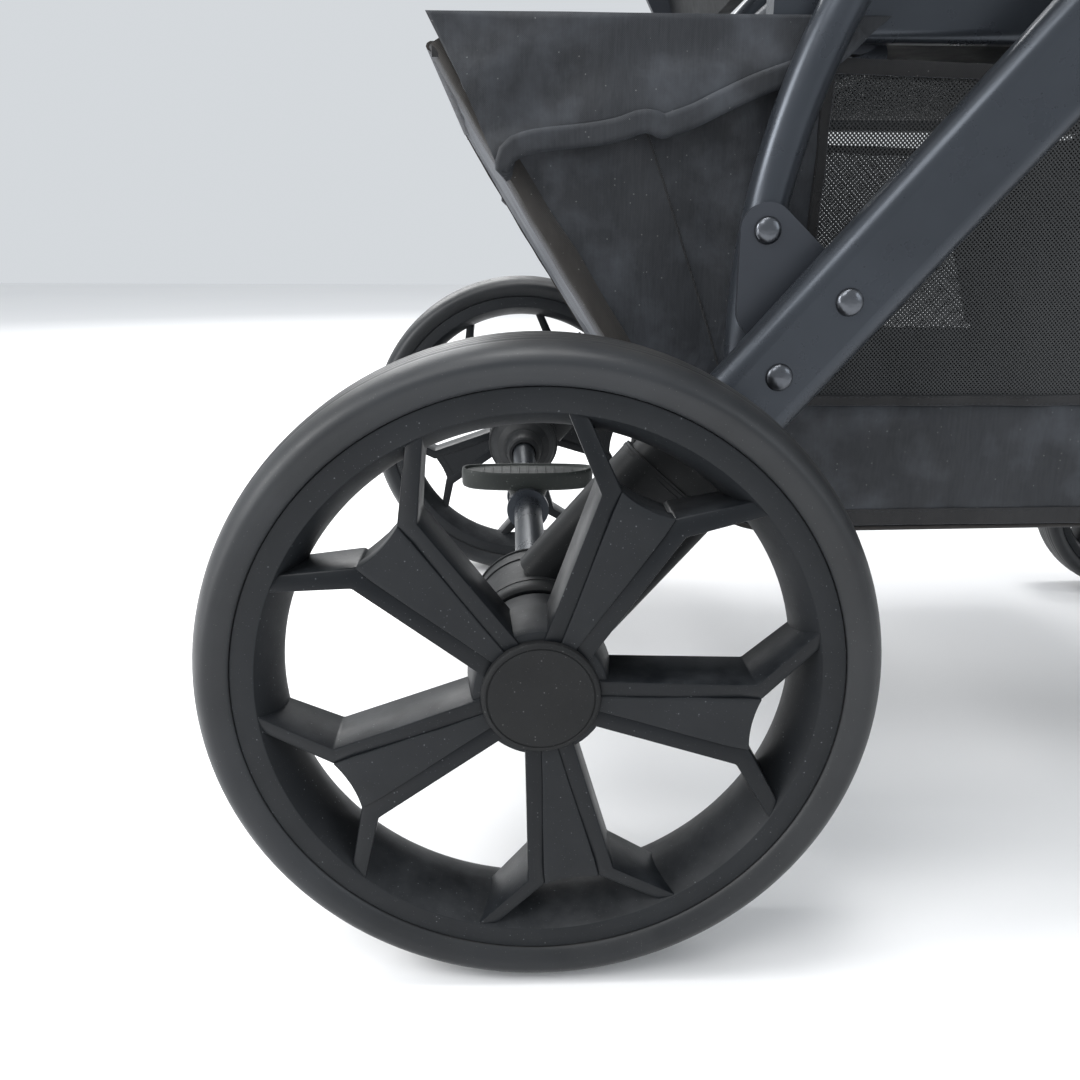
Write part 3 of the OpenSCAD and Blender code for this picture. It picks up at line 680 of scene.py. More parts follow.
def spoke_parts(k, kw, base, place, tag):
    """Two forked arms and the sunken panel between them."""
    zb = lambda u, v: -4.0 * kw

    def front(u, v):
        return kw * float(np.interp(u / k, [18, 26, 84, 104.6, 120], [22.0, 22.3, 23.9, 20.2, 19.4]))

    def inner(u, v):
        return front(u, v) - kw * float(np.interp(u / k, [18, 40, 84, 104.6, 120], [0.9, 1.3, 1.9, 1.2, 0.6]))

    def panel(u, v):
        return inner(u, v) + 0.75 * kw
    ca, sa = math.cos(base), math.sin(base)

    def at(u, v, h):
        return place(u * ca - v * sa, u * sa + v * ca, h)
    objs = []
    for s in (-1, 1):
        o0, o1, o2 = (19, 9.5), (84, 18.2), (104.6, 42.7)
        i0, i1, i2 = (19, 2.0), (88.3, 11.3), (107.2, 35.7)
        d = (o2[0] - o1[0], o2[1] - o1[1])
        o3 = (o2[0] + d[0] * 0.19, o2[1] + d[1] * 0.19)
        d = (i2[0] - i1[0], i2[1] - i1[1])
        i3 = (i2[0] + d[0] * 0.27, i2[1] + d[1] * 0.27)
        mid_o, mid_i = (52, 13.9), (54, 6.6)
        poly = [o0, mid_o, o1, o2, o3, i3, i2, i1, mid_i, i0]
        poly = [(a * k, b * s * k) for a, b in poly]
        v, f = prism(poly, front, zb, at)
        # the face leans in a little toward the panel
        for q in range(5, 10):
            v[q] = at(poly[q][0], poly[q][1], inner(*poly[q]))
        # the arm's face is two flat facets meeting at the fork: split the cap along its joints
        n = len(poly)
        f = f[2:]
        for q in ((0, 1, 8, 9), (1, 2, 7, 8), (2, 3, 6, 7), (3, 4, 5, 6)):
            f.append(q)
            f.append(tuple(n + i for i in q[::-1]))
        o = make(f"arm{tag}{s}", metres(v), f, "wheelgloss", sharp=20)
        bevel(o, 0.00075 * k, 24)
        objs.append(o)
    # panel: closed slab whose outer end is drawn in a little between the arms
    end = [(88.3 - 1.6 * (1 - (b / 11.3) ** 2), b) for b in np.linspace(11.3, -11.3, 11)]
    rows = [(19, 2.6), (40, 5.2), (62, 8.3), (80, 10.6)]
    grid = [[(u, hw * t) for t in np.linspace(1, -1, 11)] for u, hw in rows] + [end]
    flat = [(a * k, b * k * 1.03) for row in grid for a, b in row]
    n, m = len(flat), len(grid)
    v = [at(a, b, panel(a, 0)) for a, b in flat] + [at(a, b, kw * 13.5) for a, b in flat]
    f = []
    for q in quads(m, 11):
        f += [q, tuple(n + x for x in q[::-1])]
    edge = [i * 11 for i in range(m)] + [(m - 1) * 11 + j for j in range(1, 11)] \
        + [i * 11 + 10 for i in range(m - 2, -1, -1)] + [j for j in range(9, 0, -1)]
    for a, b in zip(edge, edge[1:] + edge[:1]):
        f.append((a, b, n + b, n + a))
    o = make(f"panel{tag}", metres(v), f, "wheel", sharp=28)
    bevel(o, 0.0005 * k, 40)
    objs.append(o)
    # core under the panel, set back from its end
    core = [(19, -4.5), (83.5, -12.5), (83.5, 12.5), (19, 4.5)]
    v, f = prism([(a * k, b * k) for a, b in core], lambda u, w: 14.0 * kw, lambda u, w: -3.4 * kw, at)
    objs.append(make(f"core{tag}", metres(v), f, "wheel", sharp=28))
    # small web under the fork that ties both arms and the panel together
    web = [(80, -12), (87.0, -13.0), (86.2, -6), (85.8, 0), (86.2, 6), (87.0, 13.0), (80, 12)]
    v, f = prism([(a * k, b * k) for a, b in web], lambda u, w: 15.0 * kw, lambda u, w: -3.8 * kw, at)
    objs.append(make(f"web{tag}", metres(v), f, "wheel", sharp=28))
    return objs


def hub_profile(w, hub_r, hub_in, bore):
    face = w * 0.42
    return [(bore, -hub_in + 0.4), (bore + 0.4, -hub_in),
            (hub_r - 1.4, -hub_in), (hub_r - 0.4, -hub_in + 0.5),
            (hub_r, -hub_in + 1.4), (hub_r + 0.5, -6), (hub_r + 2.2, -4.2), (hub_r + 2.6, 0),
            (hub_r + 0.6, face - 4), (hub_r, face - 1.4), (hub_r - 0.5, face - 0.4), (hub_r - 1.4, face),
            (bore + 0.4, face), (bore, face - 0.4)]


def cut_pockets(hub, x0, y0, z0, hub_in, side):
    """Twelve blind holes in the hub's inner face, which the brake pin can drop into."""
    v, f = [], []
    for i in range(12):
        a = LEG_A + math.pi + i * math.pi / 6
        place = (x0 + 22 * math.cos(a), y0, z0 + 22 * math.sin(a))
        hole = [(0.0, -hub_in - 2), (4.2, -hub_in - 2), (4.2, -13.5), (0.0, -13.5)]
        hv, hf = lathe(hole, 18, place, side)
        f += [tuple(q + len(v) for q in t) for t in hf]
        v += list(hv)
    cut = make("cut", v, f, "wheel")
    modify(hub, "BOOLEAN", operation="DIFFERENCE", solver="EXACT", object=cut)
    drop(cut)
    shade(hub.data, 26)


def wheel(tag, side, x0, y0, r, w, hub_r, hub_in, bore, body, nodes, seg, cap_r, pockets):
    """Tyre, rim and hub cap of one wheel; k and kw are its size and width against the rear wheel's."""
    k, kw = r / REAR_R, w / 49.0
    seat = r * 0.843
    c = (x0, y0, r)
    v, f = lathe(tyre_profile(r, w, seat, 5 if k == 1 else 3), seg, c, side)
    done(make(f"tyre_{tag}", v, f, "tyre", body, "tyre", sharp=60), nodes[0])
    v, f = lathe(rim_ring_profile(r, w, seat), seg, c, side)
    parts = [make("ring" + tag, v, f, "wheel", body, "wheel_plastic", sharp=26)]
    v, f = lathe(hub_profile(w, hub_r, hub_in, bore), 64, c, side)
    hub = make("hub" + tag, v, f, "wheel", sharp=26)
    if pockets:
        cut_pockets(hub, *c, hub_in, side)
    parts.append(hub)

    def place(u, up, out):
        return (x0 + u, side * (y0 + out), r + up)
    for i in range(5):
        parts += spoke_parts(k, kw, deg(278.9 + 72 * i), place, f"{tag}{i}")
    done(join(f"rim_{tag}", parts), nodes[1])
    # hub cap: a disc with a rolled edge and a fine ring near it
    foot, top = 20.62 * kw, 24.5 * kw
    edge = [(0.0, -1.7 * kw), (0.35, -0.75 * kw), (1.1, -0.15 * kw), (1.7, 0), (2.1, 0), (2.3, -0.45),
            (2.7, -0.45), (2.9, -0.05), (4.0, -0.02)]
    pr = [(0.0, foot), (cap_r - 0.3, foot), (cap_r, foot + 0.5)] + [(cap_r - a, top + b) for a, b in edge]
    pr += [(cap_r * 0.5, top - 0.25), (0.0, top - 0.3)]
    v, f = lathe(pr, 96, c, side)
    done(make(f"hub_cap_{tag}", v, f, "hubface", body, "wheel_plastic", sharp=30), *nodes[2:])


for side, s in SIDES:
    wheel(f"rear_{s}", side, 0, 266, REAR_R, 49, 27.5, 22, 6.05, f"rear_wheel_{s}",
          (f"tyre_rear_{s}", f"rim_rear_{s}", f"cap_rear_{s}"), 160, 24, True)
    wheel(f"front_{s}", side, 570, 196, FRONT_R, 34, 20, 16.5, 5.05, f"front_wheel_{s}",
          (f"front_tyre_{s}", f"front_rim_{s}"), 112, 15, False)


# ---------------------------------------------------------------- frame: carried-over nodes
for n in ("rear_leg_r", "rear_leg_l", "brace_r", "brace_l", "axle_tube", "front_leg_r", "front_leg_l",
          "cross_tubes", "seat_rail_r", "seat_rail_l", "handle_tube_r", "handle_tube_l", "grip_bar"):
    paint(n, "frame")
for n in ("gussets", "recline_mount", "recline_brackets"):
    paint(n, "plate")
for n in ("knuckle_r", "knuckle_l", "hub_caps", "front_knuckles", "footrest", "seat_pan", "bumper_sockets",
          "buckle", "caster_fork_r", "caster_fork_l", "trigger_housing", "rear_bow", "mid_bow", "front_bow",
          "back_board"):
    paint(n, "plastic")
for n in ("brake_pin_r", "brake_pin_l"):
    paint(n, "pin")
paint("buckle_button", "button")
paint("fold_trigger", "trigger")


def rivet(x, z, y, d, h, side):
    """A domed head with a small flat and a rolled foot."""
    r = d / 2
    pr = [(0.0, 0.0), (r * 1.02, 0.0), (r * 1.03, 0.25), (r, 0.6)]
    for a in np.linspace(0.12, 1, 7) * math.pi / 2:
        pr.append((r * math.cos(a) ** 0.8 + 0.02, 0.6 + (h - 0.6) * math.sin(a)))
    return lathe(pr, 28, (x, y, z), side, closed=False)


def leg_at(s):
    """A point (x, z), s along the rear leg from the rear axle."""
    return s * math.cos(LEG_A), REAR_R + s * math.sin(LEG_A)


def rivets():
    """Six rivets a side; 228 and 208 mm out are the faces of the leg and of the brace."""
    vs, fs = [], []
    for side in (RIGHT, LEFT):
        for (x, z), y in ((leg_at(156), 228), (leg_at(197), 228), ((98, 317), 208), (leg_at(468), 228),
                          (leg_at(500), 228), ((290, 555), 208)):
            v, f = rivet(x, z, y, 11.3, 3.15, side)
            fs += [tuple(i + len(vs) for i in q) for q in f]
            vs += list(v)
    done(make("rivets", vs, fs, "rivet", "rear_frame", "rivet", sharp=50), "frame_rivets")


rivets()


def leg_collar(side):
    """A moulded collar, 54.6 by 29.8 mm, that steps the knuckle down to the leg tube."""
    ca, sa = math.cos(LEG_A), math.sin(LEG_A)
    n = 40
    ring = oval(54.6, 29.8, n, 3.2)
    path = [leg_at(91.0 + q * 2.4) for q in (-0.5, -0.3, 0.3, 0.5)]
    v = []

    def add_ring(place, along, across):
        for a, b in ring:
            v.append((place[0] - a * along * sa, side * (218 + b * across), place[1] + a * along * ca))
    for place, k in zip(path, (0.975, 1.0, 1.0, 0.975)):
        add_ring(place, k, k)
    # inner wall, so that the collar is a closed ring round the tube
    for place in (path[0], path[-1]):
        add_ring(place, 0.94, 0.90)
    f = quads(4, n, False, True) + band(4 * n, 5 * n, n) + band(0, 4 * n, n) + band(3 * n, 5 * n, n)
    return make("kr", metres(v), f, "plastic", "rear_frame", "dark_plastic", sharp=50)


def knuckle_rings():
    """The collar on the leg, the knuckle's welted edges, and the skirt over the gap to the wheel hub."""
    for side, s in SIDES:
        parts = [leg_collar(side)]
        for y0, rr, hh in ((191.8, 30.2, 1.0), (203.5, 30.1, 1.2), (233.0, 30.2, 2.2)):
            pr = [(29.0, -hh), (rr, -hh + 0.4), (rr + 0.2, 0), (rr, hh - 0.4), (29.0, hh)]
            v, f = lathe(pr, 64, (0, y0, REAR_R), side)
            parts.append(make("kc", v, f, "plastic", sharp=50))
        # the brake pin passes inside the skirt
        v, f = lathe([(27.2, 234), (29.6, 234), (29.9, 235), (29.9, 239.5), (29.2, 242.2), (28.2, 243.3),
                      (27.2, 243.3)], 72, (0, 0, REAR_R), side)
        parts.append(make("ks", v, f, "plastic", sharp=40))
        done(join(f"knuckle_collars_{s}", parts))


knuckle_rings()


# ---------------------------------------------------------------- basket
def rounded(pts, radii):
    """The open polyline with each inner corner turned into an arc."""
    out = [np.array(pts[0], float)]
    for i in range(1, len(pts) - 1):
        a, b, c = (np.array(pts[j], float) for j in (i - 1, i, i + 1))
        r = radii.get(i, 0)
        if not r:
            out.append(b)
            continue
        d0, d1 = a - b, c - b
        l0, l1 = np.linalg.norm(d0), np.linalg.norm(d1)
        q = min(r, l0 * 0.48, l1 * 0.48)
        p0, p1 = b + d0 / l0 * q, b + d1 / l1 * q
        for t in np.linspace(0, 1, 7):
            out.append((1 - t) ** 2 * p0 + 2 * t * (1 - t) * b + t * t * p1)
    out.append(np.array(pts[-1], float))
    return np.array(out)


# the basket's outline seen from the side, from the rear rim down, along the floor and up to the front rim
OUT = resample(rounded([(-45, 391), (-9, 332), (28, 275), (88, 181), (110, 172.6), (440, 176.4), (450, 184),
                        (387.5, 379.5)], {1: 30, 2: 40, 3: 20, 4: 16, 5: 8, 6: 8}), 6.0)
RIM_REAR, RIM_FRONT = (-45, 391), (387.5, 379.5)
SIDE_Y = 179.6


def rim_z(x):
    """Height of the basket's rim at x."""
    return RIM_REAR[1] + (RIM_FRONT[1] - RIM_REAR[1]) * (x - RIM_REAR[0]) / (RIM_FRONT[0] - RIM_REAR[0])


def side_bulge(x, z):
    """How far the side cloth stands out (+) or in (-) of its plane, in mm."""
    low = max(0.0, min(1.0, (z - 172) / 30.0))
    top = max(0.0, min(1.0, (rim_z(min(x, 387)) - z) / 24.0))
    g = low * top
    b = 2.0 * wob(x, 0, z, 50, 3.1) + 1.5 * wob(x * 1.4 + z * 0.8, 0, z * 0.55, 20, 7.7)
    # soft folds that run down from the rear rim to the wheel end of the basket
    s = (x + 0.66 * z - 205) / 26.0
    b += 1.5 * math.exp(-s * s) * math.sin(z / 15.0 + x / 31.0)
    s = (x - 0.10 * z - 62) / 9.0
    b += 0.9 * math.exp(-s * s)
    return 1.15 * g * b


def loft_basket():
    """The cloth of both sides, the floor and the end walls, as points in mm and faces."""
    n = len(OUT)
    rc = 9.0            # radius between a side and the floor
    cols = []
    for q, inward, x in zip(OUT, left_of(OUT), np.linspace(RIM_REAR[0], RIM_FRONT[0], n)):
        rim = np.array([x, rim_z(x)])
        inset = q + inward * rc
        # keep the inset point under the rim line
        if inset[1] > rim_z(min(inset[0], RIM_FRONT[0])) - 0.5:
            inset = np.array([inset[0], rim_z(min(max(inset[0], RIM_REAR[0]), RIM_FRONT[0])) - 0.5])
        col = []
        for f in np.arange(22) / 21:
            p = rim + (inset - rim) * f
            col.append((p[0], SIDE_Y + side_bulge(p[0], p[1]), p[1]))
        for a in (22, 45, 67, 90):
            p = q + inward * rc * (1 - math.sin(deg(a)))
            col.append((p[0], SIDE_Y - rc + rc * math.cos(deg(a)), p[1]))
        for y in np.linspace(SIDE_Y - rc, 0, 24)[1:]:
            sag = 1.6 * wob(q[0], y, 0, 70, 1.3) if q[1] < 250 else 0.0
            dent = 1.8 * wob(q[0] * 0.7, y, q[1], 48, 9.0)
            p = q + inward * (abs(sag) + 1.0 + dent * 0.8 + 1.2)
            col.append((p[0], y, p[1]))
        cols.append([(a, -b, c) for a, b, c in col] + col[-2::-1])
    return [p for c in cols for p in c], quads(n, len(cols[0]))


def cut_at(bm, point, normal):
    bmesh.ops.bisect_plane(bm, geom=bm.verts[:] + bm.edges[:] + bm.faces[:], dist=1e-6,
                           plane_co=metres(point), plane_no=normal)


def basket():
    """Cuts the lofted cloth along the net's edges and parts it into cloth and net."""
    v, f = loft_basket()
    o = make("basket_shell", metres(v), f, "basket", "main_frame", "basket_cloth", sharp=75)
    bm = bmesh.new()
    bm.from_mesh(o.data)
    for point, normal in (((127, 0, 0), (1, 0, 0)), ((0, 0, 240), (0, 0, 1)), ((0, 0, 226), (0, 0, 1)),
                          ((378, 0, 0), (1, 0, 0.32))):
        cut_at(bm, point, normal)
    bm.normal_update()
    net_faces = set()
    for q in bm.faces:
        c = q.calc_center_median() * 1000 + Vector((CX, 0, 0))
        if abs(c.y) > 176.5 and c.x > 127 and c.z > 240 and c.x + 0.32 * c.z < 378 + 78:
            net_faces.add(q.index)
    bm.to_mesh(o.data)
    bm.free()

    def part(name, is_net, mat, thickness):
        p = add_object(name, o.data.copy())
        p.data.name = name
        b = bmesh.new()
        b.from_mesh(p.data)
        bmesh.ops.delete(b, geom=[q for q in b.faces if (q.index in net_faces) != is_net], context="FACES")
        b.to_mesh(p.data)
        b.free()
        p.data.materials[0] = LOOK[mat]
        p["_slot"], p["_body"] = o["_slot"], o["_body"]
        return solidify(p, thickness)
    nets = part("basket_net", True, "net", 0.0005)
    body = part("basket_cloth", False, "basket", 0.0009)
    drop(o)
    return done(body, "basket"), done(nets)


BASKET_CLOTH, BASKET_NET = basket()


BASKET_BODY = ("main_frame", "basket_cloth")


def side_line(pts, out, step, side):
    """A path on the basket's side cloth through (x, z) points, out mm proud of it."""
    return np.array([(x, side * (SIDE_Y + side_bulge(x, z) + out), z) for x, z in resample(pts, step)])


def corner_fold(edge, side):
    """Soft folded edge where the side cloth turns into the rear wall."""
    cross = 15
    v = []
    for q, inward in zip(edge, left_of(edge)):
        wide = 10.0 + 2.4 * wob(q[0], 0, q[1], 34, 6.2)
        out = 1.1 * wob(q[0], 0, q[1], 19, 3.4)
        for j in range(cross):
            k = j / (cross - 1)
            p = q + inward * (wide * k - 1.0)
            lift = 0.8 + 1.5 * math.sin(math.pi * min(1, k * 1.12)) ** 0.8
            lift += 0.7 * wob(p[0], j * 3, p[1], 14, 1.7)
            y = SIDE_Y + side_bulge(p[0], p[1]) + max(0.1, lift if j < cross - 1 else 0.1)
            if k < 0.22:
                y -= 6.0 * (1 - k / 0.22) ** 2
            p = p - inward * out * (1 - k)
            v.append((p[0], side * y, p[1]))
    fold = make("f", metres(v), quads(len(edge), cross), "brown", *BASKET_BODY, sharp=80)
    return solidify(fold, 0.0008)


def basket_trim():
    """Bindings, hems, dart, corner folds and rolled rim as one piece, and their stitching as another."""
    tape, thread = [], []

    def tube(path, profile, out, mat, sharp=60):
        v, f = sweep(path, profile, out)
        tape.append(make("t", v, f, mat, *BASKET_BODY, sharp=sharp))
    for side in (RIGHT, LEFT):
        out = (0, side, 0)

        def sew(line, lift, pitch, length, r):
            thread.append(stitches(side_line(line, lift, 3, side), out, pitch, length, r, *BASKET_BODY))
        # binding round the net's three sewn edges, between it and the cloth
        seam = spline([(127.5, 380), (127, 366), (126, 340), (125.2, 313), (126.5, 280), (127.5, 243)], 6)
        for line in (seam, [(127, 240), (200, 240), (300, 240), (376, 240)],
                     [(377, 246), (364, 290), (350, 330), (337, 368)]):
            tube(side_line(line, 0.35, 4, side), strip_profile(5.0, 0.9), out, "hem")
            q = resample(line, 4)
            for d in (-1.6, 1.6):
                sew(q + left_of(q) * d, 1.15, 3.0, 2.1, 0.20)
        # dart seam down the rear panel
        dart = spline([(40, 378), (55, 342), (70, 303), (84, 264), (96, 222), (103, 190)], 6)
        tube(side_line(dart, -0.1, 4, side), strip_profile(1.5, 0.7, 0.25, 4), out, "hem")
        sew(dart, 0.75, 3.6, 2.4, 0.26)
        edge = OUT[:next(i for i, q in enumerate(OUT) if q[1] < 192)]
        tape.append(corner_fold(edge, side))
        # piping where the side meets the floor
        path = [(x, side * (SIDE_Y - 1.4), z) for x, z in OUT + left_of(OUT) * 2.2]
        tube(path[len(edge) - 2:-2], oval(2.6, 2.6, 8), out, "brown", 80)
        # hem band at the foot of the side
        foot = [(112, 181), (200, 182), (320, 183), (436, 184)]
        tube(side_line(foot, 0.3, 4, side), strip_profile(8.5, 0.9), out, "hem")
        sew([(112, 184), (436, 187)], 1.1, 3.2, 2.2, 0.2)
    # rolled rim along the rear, the front and both sides
    for x, z, mat in ((-44, 391, "brown"), (386.5, 379.5, "hem")):
        tube(resample([(x, -178, z), (x, 178, z)], 8), oval(5.5, 4.2, 10), (0, 0, 1), mat, 80)
    for side in (RIGHT, LEFT):
        path = [(x, side * 180.4, rim_z(x) - 1.5) for x in np.arange(-44, 388, 9)]
        tube(path, oval(2.6, 6.5, 10), (0, 0, 1), "hem", 80)
    return done(join("basket_tape", tape)), done(join("basket_stitching", thread))


BASKET_TAPE, BASKET_STITCH = basket_trim()


# ---------------------------------------------------------------- cuffs over the basket's rear corners
CUFF_LOW = spline([(-31, 375), (-25.5, 363), (-19, 348), (-13.6, 337.6), (-10.6, 338.2), (-8.6, 345),
                   (-3, 347.6), (6, 349.2), (18, 350.5), (29, 351.9), (38, 353.8),
                   (47, 356.6), (54, 354.6), (61, 356.4),
                   (70, 359.6), (80, 364.4), (96, 371.5), (112, 377), (128, 384), (139, 394)], 8)


CUFF_BODY = ("main_frame", "seat_fabric")


def cuff_y(x, z):
    """Distance of the cuff's cloth from the centre plane, in mm; folds run with the lower edge."""
    top = max(0.0, min(1.0, (z - 334) / 50.0))
    f = 1.1 * math.sin((z - 0.42 * x) / 7.6 + 1.2 * wob(x, 0, z, 44, 2.0))
    g = 1.2 * wob(x, 0, z * 1.6, 30, 5.0)
    edge = max(0.0, min(1.0, (404 - z) / 22.0))
    roll = 1.6 * math.exp(-((z - 349 - 0.16 * x) / 7.0) ** 2)
    return 185.9 + edge * (1.6 * f * (0.35 + top) + 2.0 * g + roll)


def cuffs():
    """Cloth that hangs from the seat over each rear corner, its folded hem and its stitching."""
    made = []
    for side, s in SIDES:
        low = resample(CUFF_LOW, 2.5)
        n, rows = len(low), 26
        top = np.column_stack([np.linspace(-46, 150, n), np.full(n, 403.0)])
        v = []
        for t in (np.arange(rows) / (rows - 1)) ** 1.35:
            v += [(x, side * cuff_y(x, z), z) for x, z in low * (1 - t) + top * t]
        o = make(f"seat_cuff_{s}", metres(v), quads(rows, n), "basket", *CUFF_BODY, sharp=75)
        solidify(o, 0.0009)
        # folded hem, 9 mm deep, with a row of stitching along its upper edge
        mid = (low + left_of(low) * 4.6)[int(n * 0.19):]
        path = [(x, side * (cuff_y(x, z) + 0.5 + 0.5 * wob(x, 0, z, 16, 8.1)), z) for x, z in mid]
        v, f = sweep(path, strip_profile(9.6, 2.6, 1.1, 6), (0, side, 0),
                     scale=[min(1.0, 0.35 + i / 9.0) for i in range(len(path))])
        hem = make(f"cuff_hem_{s}", v, f, "basket", *CUFF_BODY, sharp=60)
        path = [(x, side * (cuff_y(x, z) + 1.95), z) for x, z in (low + left_of(low) * 8.2)[int(n * 0.27):]]
        sewn = join(f"cuff_stitching_{s}", [stitches(path, (0, side, 0), 3.1, 2.1, 0.24, *CUFF_BODY)])
        made.append((done(o), done(hem), done(sewn)))
    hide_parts("seat_skirts")
    return made


CUFFS = cuffs()
# ---------------------------------------------------------------- brake pedal
def pedal_ring(sx, sy, z, lift=0.0, n=72):
    """A ring of the pedal's long oval; lift raises its two ends."""
    a = np.arange(n) * 2 * math.pi / n
    c, s = np.cos(a), np.sin(a)
    x = np.sign(c) * np.abs(c) ** 0.75 * sx
    y = np.sign(s) * np.abs(s) ** 0.85 * sy
    return [(p, q, z + lift * (p / 42.0) ** 4) for p, q in zip(x, y)]


def pedal():
    """Long oval tread with a rolled lip, on a funnel that clamps the axle tube."""
    tread = [(38, 10.6, 151.2), (41.5, 13.2, 151.5), (43.8, 14.8, 152.6), (44.5, 15.3, 154.6),
             (44.6, 15.4, 161.0, 0.7), (44.3, 15.2, 163.2, 0.9), (43.6, 14.7, 164.0, 0.9),
             (42.6, 13.9, 163.9, 0.9), (41.9, 13.3, 163.4, 0.7), (41.2, 12.8, 162.8, 0.4),
             (38, 10.8, 162.4), (28, 7.5, 162.3), (14, 4.0, 162.25)]
    funnel = [(20.5, 9.6, 152.0), (17.0, 10.2, 151.0), (14.0, 11.0, 149.5), (12.4, 11.8, 146.5),
              (11.9, 12.4, 143.0), (11.8, 12.6, 141.0)]
    parts = []
    for name, rings, sharp in (("tread", tread, 38), ("funnel", funnel, 40)):
        v = [p for r in rings for p in pedal_ring(*r)]
        n = len(v) // len(rings)
        f = quads(len(rings), n, False, True) + end_caps(len(rings), n)
        parts.append(make(name, metres(v), f, "pedal", "brake", "pedal_plastic", sharp=sharp))
    # low grip ribs across the tread
    for x in np.arange(-30, 31, 6.0):
        half = 10.5 * (1 - (abs(x) / 44.0) ** 2.4)
        v, f = sweep([(x, y, 162.3) for y in np.linspace(-half, half, 6)], strip_profile(1.6, 0.55, 0.3, 3),
                     (0, 0, 1))
        parts.append(make("rib", v, f, "pedal", sharp=50))
    # clamp round the axle tube
    half = [(12.4, 9), (12.0, 13.4), (11.2, 14.4), (10.06, 14.4)]
    v, f = lathe([(r, -y) for r, y in half[::-1]] + [(12.6, 0)] + half, 56, (0, 0, REAR_R), LEFT)
    parts.append(make("clamp", v, f, "pedal", sharp=40))
    done(join("brake_pedal_tread", parts), "brake_pedal")
    # collar beside the clamp on the axle tube
    v, f = lathe([(10.02, 150), (12.4, 150), (13.6, 151.2), (14.0, 154), (14.2, 168), (15.5, 172),
                  (16.5, 176), (10.02, 176)], 56, (0, 0, REAR_R), LEFT)
    done(make("axle_sleeve", v, f, "plastic", "rear_frame", "dark_plastic", sharp=40))


pedal()


# ---------------------------------------------------------------- padded pieces
def corners(w, h, r, n, last=True):
    """A rounded outline w by h, centred: n points on each corner, or n - 1 without the last."""
    ring = []
    for cx, cy, a0 in ((w / 2 - r, h / 2 - r, 0), (r - w / 2, h / 2 - r, 90), (r - w / 2, r - h / 2, 180),
                       (w / 2 - r, r - h / 2, 270)):
        for a in np.linspace(a0, a0 + 90, n)[:None if last else -1]:
            ring.append((cx + r * math.cos(deg(a)), cy + r * math.sin(deg(a))))
    return np.array(ring)


def slab(w, h, r, thick, inset):
    """Closed rounded slab, centred, with its foot on 0; its sides start drawn in by inset."""
    ring = corners(w - 2 * inset, h - 2 * inset, max(6.0, r - inset), 10)
    levels = [(0.90, 0.0), (0.985, 0.12), (1.0, 0.35), (1.0, 0.62), (0.985, 0.85), (0.93, 1.0)]
    v = []
    for k, z in levels:
        q = ring * np.array([1 - (1 - k) * 60 / (half - inset + 60) for half in (w / 2, h / 2)])
        v += [(a, b, z * thick) for a, b in q]
    n = len(ring)
    return v, quads(len(levels), n, False, True) + end_caps(len(levels), n)


VOXEL, QUICK_VOXEL = 0.0055, 0.009
PUFF_FRAMES = 20


def inflate(o):
    """Blows a closed mesh up with the cloth simulation and gives its points at the last frame."""
    c = o.modifiers.new("cl", "CLOTH")
    for k, v in (("quality", 5), ("mass", 0.3), ("use_pressure", True), ("uniform_pressure_force", 4.0),
                 ("tension_stiffness", 15), ("compression_stiffness", 15), ("shear_stiffness", 5),
                 ("bending_stiffness", 0.5)):
        setattr(c.settings, k, v)
    c.settings.effector_weights.gravity = 0
    c.collision_settings.use_collision = False
    c.point_cache.frame_start = 1
    c.point_cache.frame_end = PUFF_FRAMES
    for frame_now in range(1, PUFF_FRAMES + 1):
        scene.frame_set(frame_now)
    swollen = o.evaluated_get(bpy.context.evaluated_depsgraph_get())
    points = read_points(swollen.to_mesh())
    swollen.to_mesh_clear()
    o.modifiers.clear()
    scene.frame_set(1)
    return points


def puff(o, cap):
    """Swells a closed mesh by no more than cap metres, without letting it through its own foot."""
    modify(o, "REMESH", mode="VOXEL", voxel_size=VOXEL)
    rest = read_points(o.data)
    moved = inflate(o) - rest
    far = np.linalg.norm(moved, axis=1)
    now = rest + moved * np.where(far > cap, cap / np.maximum(far, 1e-9), 1.0)[:, None]
    now[:, 2] = np.maximum(now[:, 2], 0.0)
    write_points(o.data, now)
    o.data.polygons.foreach_set("use_smooth", [True] * len(o.data.polygons))
    modify(o, "SUBSURF", levels=1, render_levels=1)


def reshape(o, fn):
    """Moves each point in the pad's own frame: fn(points in mm) gives the new ones in mm."""
    write_points(o.data, fn(read_points(o.data) * 1000.0) / 1000.0)


def channel(a, dist, depth, width, z0):
    """Draws the top in along lines; dist is each point's distance from the nearest line."""
    top = np.clip((a[:, 2] - z0) / 6.0, 0, 1)
    a[:, 2] -= top * depth * np.exp(-(dist / width) ** 2)
    return a


def limit(a, lo, hi):
    return np.minimum(np.maximum(a, np.array(lo)), np.array(hi))


# each pad's points in its own frame, for the piping that lies on its edge
PAD_SHAPE = {}


def pad(name, size, start, cap, shape, place, body):
    """A swollen cushion. size is (w, h, corner radius, thickness) and start is (share of that
    thickness, inset) before it swells."""
    w, h, r, t = size
    v, f = slab(w, h, r, t * start[0], start[1])
    o = make(name, np.array(v) / 1000.0, f, "seat", body, "seat_fabric", sharp=60)
    puff(o, cap)
    reshape(o, shape)
    PAD_SHAPE[name] = read_points(o.data) * 1000.0
    reshape(o, lambda a: metres(place(a)) * 1000.0)
    o.data.materials.clear()
    o.data.materials.append(LOOK["seat"])
    o.data.polygons.foreach_set("use_smooth", [True] * len(o.data.polygons))
    return o


